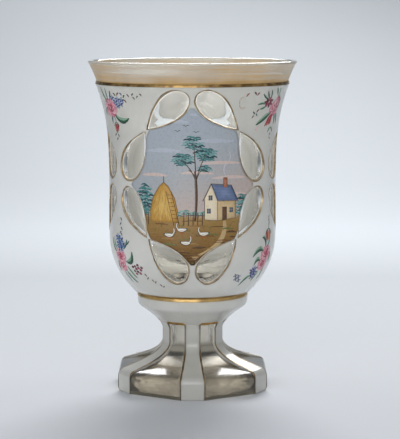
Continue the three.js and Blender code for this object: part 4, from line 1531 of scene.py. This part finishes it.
picture = PictureBrush()
ground_coat(picture)
print("ground coat of", len(picture.mesh.faces), "faces")

# %% Ways of the picture's brush
INK = "2e2622"
LEAF_TEALS = ("2f6468", "6fa3a3", "1f4a50", "4a8586")
FAR_TEALS = ("5f9a94", "87b3ab", "477f80")
STRAW = ("8f6428", "efd592", "a97a35")
EARTH = ("6f7340", "7d552c", "976f3e", "583f23", "a07f4b")


def line(brush, code, width, *corners, lift=0.1):
    """A thin outline through several corners."""
    for a, b in zip(corners, corners[1:]):
        middle = (a[0] + b[0]) / 2, (a[1] + b[1]) / 2
        brush.stroke(code, width, a, middle, b, lift=lift, steps=4, swell=0.25)


def crown(brush, x, z, wide, high, count, size, tints=LEAF_TEALS):
    """Leaves in short flat strokes, set out as the seeds of a sunflower are."""
    for i in range(count):
        a = math.radians(GOLDEN_ANGLE * i)
        far = math.sqrt((i + 0.5) / count)
        px, pz = x + wide * far * math.cos(a), z + high * far * math.sin(a)
        ends = (px - size, pz - 0.1 * size), (px, pz + 0.5 * size), (px + size, pz - 0.2 * size)
        brush.stroke(tints[i % len(tints)], 0.75 * size, *ends, lift=0.05 + 0.01 * (i % 4), steps=4)


def wisps(brush, places, code, width):
    """Long flat strokes from side to side."""
    for x, z, half in places:
        ends = (x - half, z), (x, z + 0.8), (x + half, z - 0.1)
        brush.stroke(code, width, *ends, lift=0.075, steps=16)


def tell(step):
    """Prints how far the picture has come."""
    print(step, "painted, picture of", len(picture.mesh.faces), "faces")


# %% Sky and distance
wisps(picture, [(-8, 116, 7), (4, 119, 5), (9, 108, 9), (-12, 104, 8)], "bcc3d0", 2.4)
wisps(picture, [(12, 99, 9), (16, 93, 8), (2, 95, 7), (-16, 94, 6), (18, 86, 7)], "d8c5bf", 2)
birds = (-6, 112), (-2.6, 114.2), (1.4, 111.6)
for x, z in birds:
    picture.stroke(INK, 0.3, (x - 1.3, z + 0.5), (x - 0.4, z + 0.9), (x, z))
    picture.stroke(INK, 0.3, (x, z), (x + 0.5, z + 1), (x + 1.3, z + 0.4))
for i in range(15):
    x = -24.5 + 3.5 * i
    crown(picture, x, 78.6 + 0.5 * math.sin(2.3 * i), 2.2, 1.1, 6, 1.1, FAR_TEALS)
tell("sky")

# %% Tree and bush
picture.stroke("4c382a", 1.5, (1, 75.4), (2.2, 86), (1, 96), lift=0.1, steps=12, swell=0.35)
picture.stroke("8a6c50", 0.5, (0.7, 76), (1.9, 86), (0.9, 95), lift=0.13, steps=12)
for end in ((-4, 100), (5.4, 102.5), (0.6, 106), (-1.6, 96.4), (4.6, 97)):
    picture.stroke("4c382a", 0.6, (1.5, 90), (1.4, 95), end, steps=9, swell=0.5)
crown(picture, -4, 100.6, 4.2, 2.5, 30, 1.35)
crown(picture, 5.4, 102.8, 4.2, 2.7, 32, 1.35)
crown(picture, 0.4, 107.4, 3.8, 2.8, 28, 1.3)
crown(picture, 4.8, 96.8, 2.6, 1.5, 14, 1.1)
crown(picture, -20.5, 84, 3, 6.4, 44, 1.5)
crown(picture, 22, 82, 2.6, 4.4, 30, 1.4)
tell("tree")


# %% Cottage
def cottage(brush):
    """Plastered cottage with a blue-grey roof, seen from its corner."""
    gable = [(5, 76), (10.4, 75.6), (10.4, 84.4), (7.7, 90), (5, 84.6)]
    brush.shape("ecdcbc", gable, 0.1, "f3e7cd")
    brush.shape("cdb184", [(10.4, 75.6), (18.6, 76.4), (18.6, 84), (10.4, 84.4)], 0.1, "dcc59c")
    brush.shape("5f7195", [(7.7, 90.6), (16.4, 89.8), (19.6, 83.6), (10.2, 83.8)], 0.12, "8392b4")
    for i in range(5):
        share = (i + 0.5) / 5
        left = 7.9 + 2.4 * share, 90.3 - 6.2 * share
        right = 16.5 + 2.9 * share, 89.6 - 5.8 * share
        line(brush, "45557a", 0.28, left, right, lift=0.14)
    brush.shape("a4694e", [(13, 89.2), (14.6, 89.1), (14.6, 93), (13, 93.1)], 0.14, "b98066")
    brush.shape("5b3f2c", [(12.4, 75.8), (14.4, 76), (14.4, 81.2), (12.4, 81.2)], 0.125, "6f5038")
    for x, z in ((6.7, 79.6), (16.4, 79.8), (7.4, 85)):
        pane = [(x - 0.8, z - 1), (x + 0.8, z - 1), (x + 0.8, z + 1), (x - 0.8, z + 1)]
        brush.shape("44536b", pane, 0.125)
        line(brush, "efe6d6", 0.2, (x, z - 1), (x, z + 1), lift=0.15)
        line(brush, "efe6d6", 0.2, (x - 0.8, z), (x + 0.8, z), lift=0.15)
    line(brush, INK, 0.34, (5, 76), (5, 84.4), lift=0.13)
    line(brush, INK, 0.4, (4.2, 83.6), (7.7, 90.8), (10.5, 83.6), lift=0.15)
    line(brush, INK, 0.3, (7.7, 90.8), (16.5, 90), (19.8, 83.4), (10.5, 83.6), lift=0.15)
    line(brush, INK, 0.3, (10.4, 83.6), (10.4, 75.6), (18.6, 76.4), (18.6, 83.4), lift=0.13)
    line(brush, INK, 0.3, (5, 76), (10.4, 75.6), lift=0.13)
    line(brush, INK, 0.26, (13, 89.4), (13, 93.2), (14.6, 93.1), (14.6, 89.2), lift=0.16)
    brush.stroke("c9c6d2", 1.1, (13.8, 94), (12, 97), (15, 100), lift=0.06)
    brush.stroke("c9c6d2", 0.8, (15, 99.6), (17, 101.6), (15.4, 104), lift=0.06)


cottage(picture)
tell("cottage")


# %% Haystack, ladder and fence
def haystack(brush):
    """Rounded stack of straw on its pole, with a ladder against it."""
    line(brush, "4f3a28", 0.5, (-12, 88), (-12, 94.6), lift=0.06)
    right = [(-6.6, 75), (-6, 79), (-7.4, 85), (-10, 89.6), (-12, 91.4)]
    outline = [(-17.6, 75), *right, (-14, 89.6), (-16.8, 85), (-18.2, 79)]
    brush.shape("c08f3f", outline, 0.1, "e4bf6c")
    straws = 34
    for i in range(straws):
        a = math.radians(GOLDEN_ANGLE * i)
        far = 0.92 * math.sqrt((i + 0.5) / straws)
        x, z = -12 + 5 * far * math.cos(a), 81.6 + 6.6 * far * math.sin(a)
        lean = (x + 12) * 0.14
        ends = (x - lean, z + 1.3), (x, z), (x + lean, z - 1.3)
        brush.stroke(STRAW[i % 3], 0.34, *ends, lift=0.125, steps=4)
    for a, b in zip(outline[2:], outline[3:]):
        line(brush, "4c3520", 0.28, a, b, lift=0.125)
    for x in (-7.6, -5.4):
        line(brush, "3d2c1f", 0.36, (x, 73.4), (x - 3.4, 87.6), lift=0.15)
    for i in range(8):
        z = 75 + 1.6 * i
        x = -7.6 - 3.4 * (z - 73.4) / 14.2
        line(brush, "3d2c1f", 0.28, (x, z), (x + 2.2, z), lift=0.15)


def fence(brush, start, end, posts):
    """Rail fence between two places."""
    for i in range(posts):
        x = start + (end - start) * i / (posts - 1)
        line(brush, "4c3626", 0.5, (x, 73.6), (x + 0.1, 79), lift=0.1)
    for z in (75.4, 77.6):
        middle = (start + end) / 2, z + 0.3
        line(brush, "6b4d35", 0.42, (start - 0.6, z), middle, (end + 0.4, z), lift=0.115)


haystack(picture)
fence(picture, -3.6, 4, 5)
fence(picture, -25, -19, 4)
tell("haystack")


# %% Ground, path and geese
def ground(brush):
    """Path down from the door, and strokes of grass and bare earth."""
    brush.stroke("c6aa7c", 3, (13.4, 75.4), (15, 65), (0, 60), lift=0.07, steps=18, swell=0.45)
    strokes = 46
    for i in range(strokes):
        a = GOLDEN_ANGLE * i
        z = 74.6 - 19 * (i / strokes) ** 0.9
        room = 19.5 * min(1, (z - 52) / 16)
        x = room * math.cos(math.radians(a)) * 0.9
        half = 1.2 + 2.6 * abs(math.sin(a)) * room / 20
        ends = (x - half, z), (x, z + 0.5), (x + half, z - 0.2)
        brush.stroke(EARTH[i % 5], 0.5 + 0.35 * (i % 3), *ends, lift=0.085)
    for i in range(12):
        x = -16 + 2.9 * i
        z = 71 + 2 * math.sin(1.9 * i)
        brush.stroke("57693a", 0.3, (x, z), (x + 0.2, z + 0.8), (x + 0.6, z + 1.4), steps=4)
        brush.stroke("6d7d45", 0.3, (x, z), (x - 0.2, z + 0.7), (x - 0.7, z + 1.2), steps=4)
    for i in range(6):
        z = 61.4 - 1.2 * i
        left, right = (-4.6 + 0.7 * i, z), (3.4 - 0.4 * i, z + 0.2)
        brush.stroke("4e3319", 0.45, left, (-1, z - 0.6), right, lift=0.1)


def goose(brush, x, z, facing):
    """White goose with an orange bill and legs."""

    def ahead(*places):
        """Places by how far ahead of the goose's middle and above it they lie."""
        return [(x + far * facing, z + up) for far, up in places]

    for reach in (-0.3, 0.5):
        line(brush, "b5632a", 0.28, (x + reach, z - 1.9), (x + reach * 0.7, z - 0.5), lift=0.1)
    brush.stroke(INK, 2.5, *ahead((-2.5, 0.5), (0, -0.5), (1.9, 0.3)), lift=0.1)
    brush.stroke("f1ece2", 2, *ahead((-2.1, 0.4), (0, -0.4), (1.6, 0.3)), lift=0.14)
    neck = ahead((1.2, 0.4), (2.4, 1.2), (1.7, 2.8))
    brush.stroke(INK, 1, *neck, lift=0.11, swell=0.2)
    brush.stroke("f1ece2", 0.65, *neck, lift=0.145, swell=0.2)
    line(brush, "c7702c", 0.34, *ahead((1.8, 2.7), (2.7, 2.3)), lift=0.13)
    brush.stroke("a9a6a0", 0.35, *ahead((-1.6, 0.3), (0, -0.5), (0.8, 0)), lift=0.165)


ground(picture)
for x, z, facing in ((-9.5, 69.6, 1), (-2.6, 66.4, 1), (4.4, 70.2, -1), (-4.6, 71.8, -1)):
    goose(picture, x, z, facing)
painting = to_object(picture.mesh, "enamel_painting")
lay(painting, painted_enamel, "painted_enamel", "painted_scene")
print("painting of", len(painting.data.polygons), "faces")

# %% [markdown]
# ## Stage
# The beaker stands on a pale sweep: a floor that curves up into a backdrop, so that no horizon
# shows. A soft lamp behind and above throws the shadow towards the camera. Two weaker lamps, one
# wide above and one in front on the left, lift the near side, and a plain pale world fills in the
# rest.

# %% Floor and backdrop
FLOOR_HALF = 3
FLOOR_FRONT = -3
FOLD_START = 0.55
FOLD_RADIUS = 0.3
WALL_TOP = 1.1


def stage_sweep():
    """One curved sheet, extruded from a short edge."""
    mesh = bmesh.new()
    ends = [mesh.verts.new((x, FLOOR_FRONT, 0)) for x in (-FLOOR_HALF, FLOOR_HALF)]
    edge = mesh.edges.new(ends)
    steps = [(FOLD_START, 0)]
    for i in range(1, 13):
        a = math.pi / 2 * i / 12
        steps.append((FOLD_START + FOLD_RADIUS * math.sin(a), FOLD_RADIUS * (1 - math.cos(a))))
    steps.append((FOLD_START + FOLD_RADIUS, WALL_TOP))
    for y, z in steps:
        made = bmesh.ops.extrude_edge_only(mesh, edges=[edge])["geom"]
        edge = next(part for part in made if isinstance(part, bmesh.types.BMEdge))
        for vertex in edge.verts:
            vertex.co.y, vertex.co.z = y, z
    sheet = to_object(mesh, "paper_sweep")
    floor = max(sheet.data.polygons, key=lambda face: face.area)
    if floor.normal.z < 0:
        sheet.data.flip_normals()
    return sheet


def paper_finish():
    """Pale blue-grey paper with faint clouds, and painted shade that darkens it towards the back.
    """
    material, tree, out = new_material("pale_paper")
    where = place_in(tree)
    cloudy = ranged(tree, clouds(tree, where, 3, 2), 0.35, 0.65, 0, 1)
    _, depth, height = put(tree, "ShaderNodeSeparateXYZ", {0: where}).outputs
    near = blended(tree, cloudy, paint("dadee4"), paint("dee2e9"))
    # Painted shade: the paper beyond the beaker is darker, most of all on the far floor and low on
    # the backdrop.
    far = blended(tree, ranged(tree, height, 0.02, 0.2, 0, 1), paint("b9bec3"), paint("d0d5da"))
    colour = blended(tree, ranged(tree, depth, 0.02, 0.3, 0, 1), near, far)
    surface(tree, out, {"Base Color": colour, "Roughness": 0.9, "Specular IOR Level": 0})
    return material


paper = stage_sweep()
paper.data.materials.append(paper_finish())
print("sweep of", len(paper.data.polygons), "faces")


# %% Lamps and world
def lamp(name, place, aim, width, height, watts):
    """Soft lamp that looks at a point."""
    data = bpy.data.lights.new(name, "AREA")
    data.shape = "RECTANGLE"
    data.size, data.size_y = width, height
    data.energy = watts
    piece = bpy.data.objects.new(name, data)
    piece.location = place
    piece.rotation_euler = (Vector(aim) - Vector(place)).to_track_quat("-Z", "Y").to_euler()
    bpy.context.scene.collection.objects.link(piece)


ROOM_LIGHT = 0.31
ROOM_SEEN = 0.66
lamp("lamp_behind", (0.075, 0.62, 0.52), (0, 0, 0.05), 0.44, 0.35, 5.9)
lamp("lamp_above", (-0.1, -0.3, 0.9), (0, 0, 0.07), 1.5, 1.3, 0.8)
lamp("lamp_front", (-0.2, -0.9, 0.28), (0, 0, 0.08), 0.7, 0.5, 2.9)
world = bpy.data.worlds.new("plain_room")
world.use_nodes = True
tree = world.node_tree
seen_by = put(tree, "ShaderNodeLightPath").outputs
through = sum_of(tree, seen_by["Is Glossy Ray"], seen_by["Is Transmission Ray"])
seen = sum_of(tree, seen_by["Is Camera Ray"], through)
strength = ranged(tree, seen, 0, 1, ROOM_LIGHT, ROOM_SEEN)
plug(tree, tree.nodes["Background"], {"Strength": strength, "Color": paint("f3f3f1")})
bpy.context.scene.world = world
bpy.context.scene.view_settings.view_transform = "Standard"
print("lamps", len(bpy.data.lights))
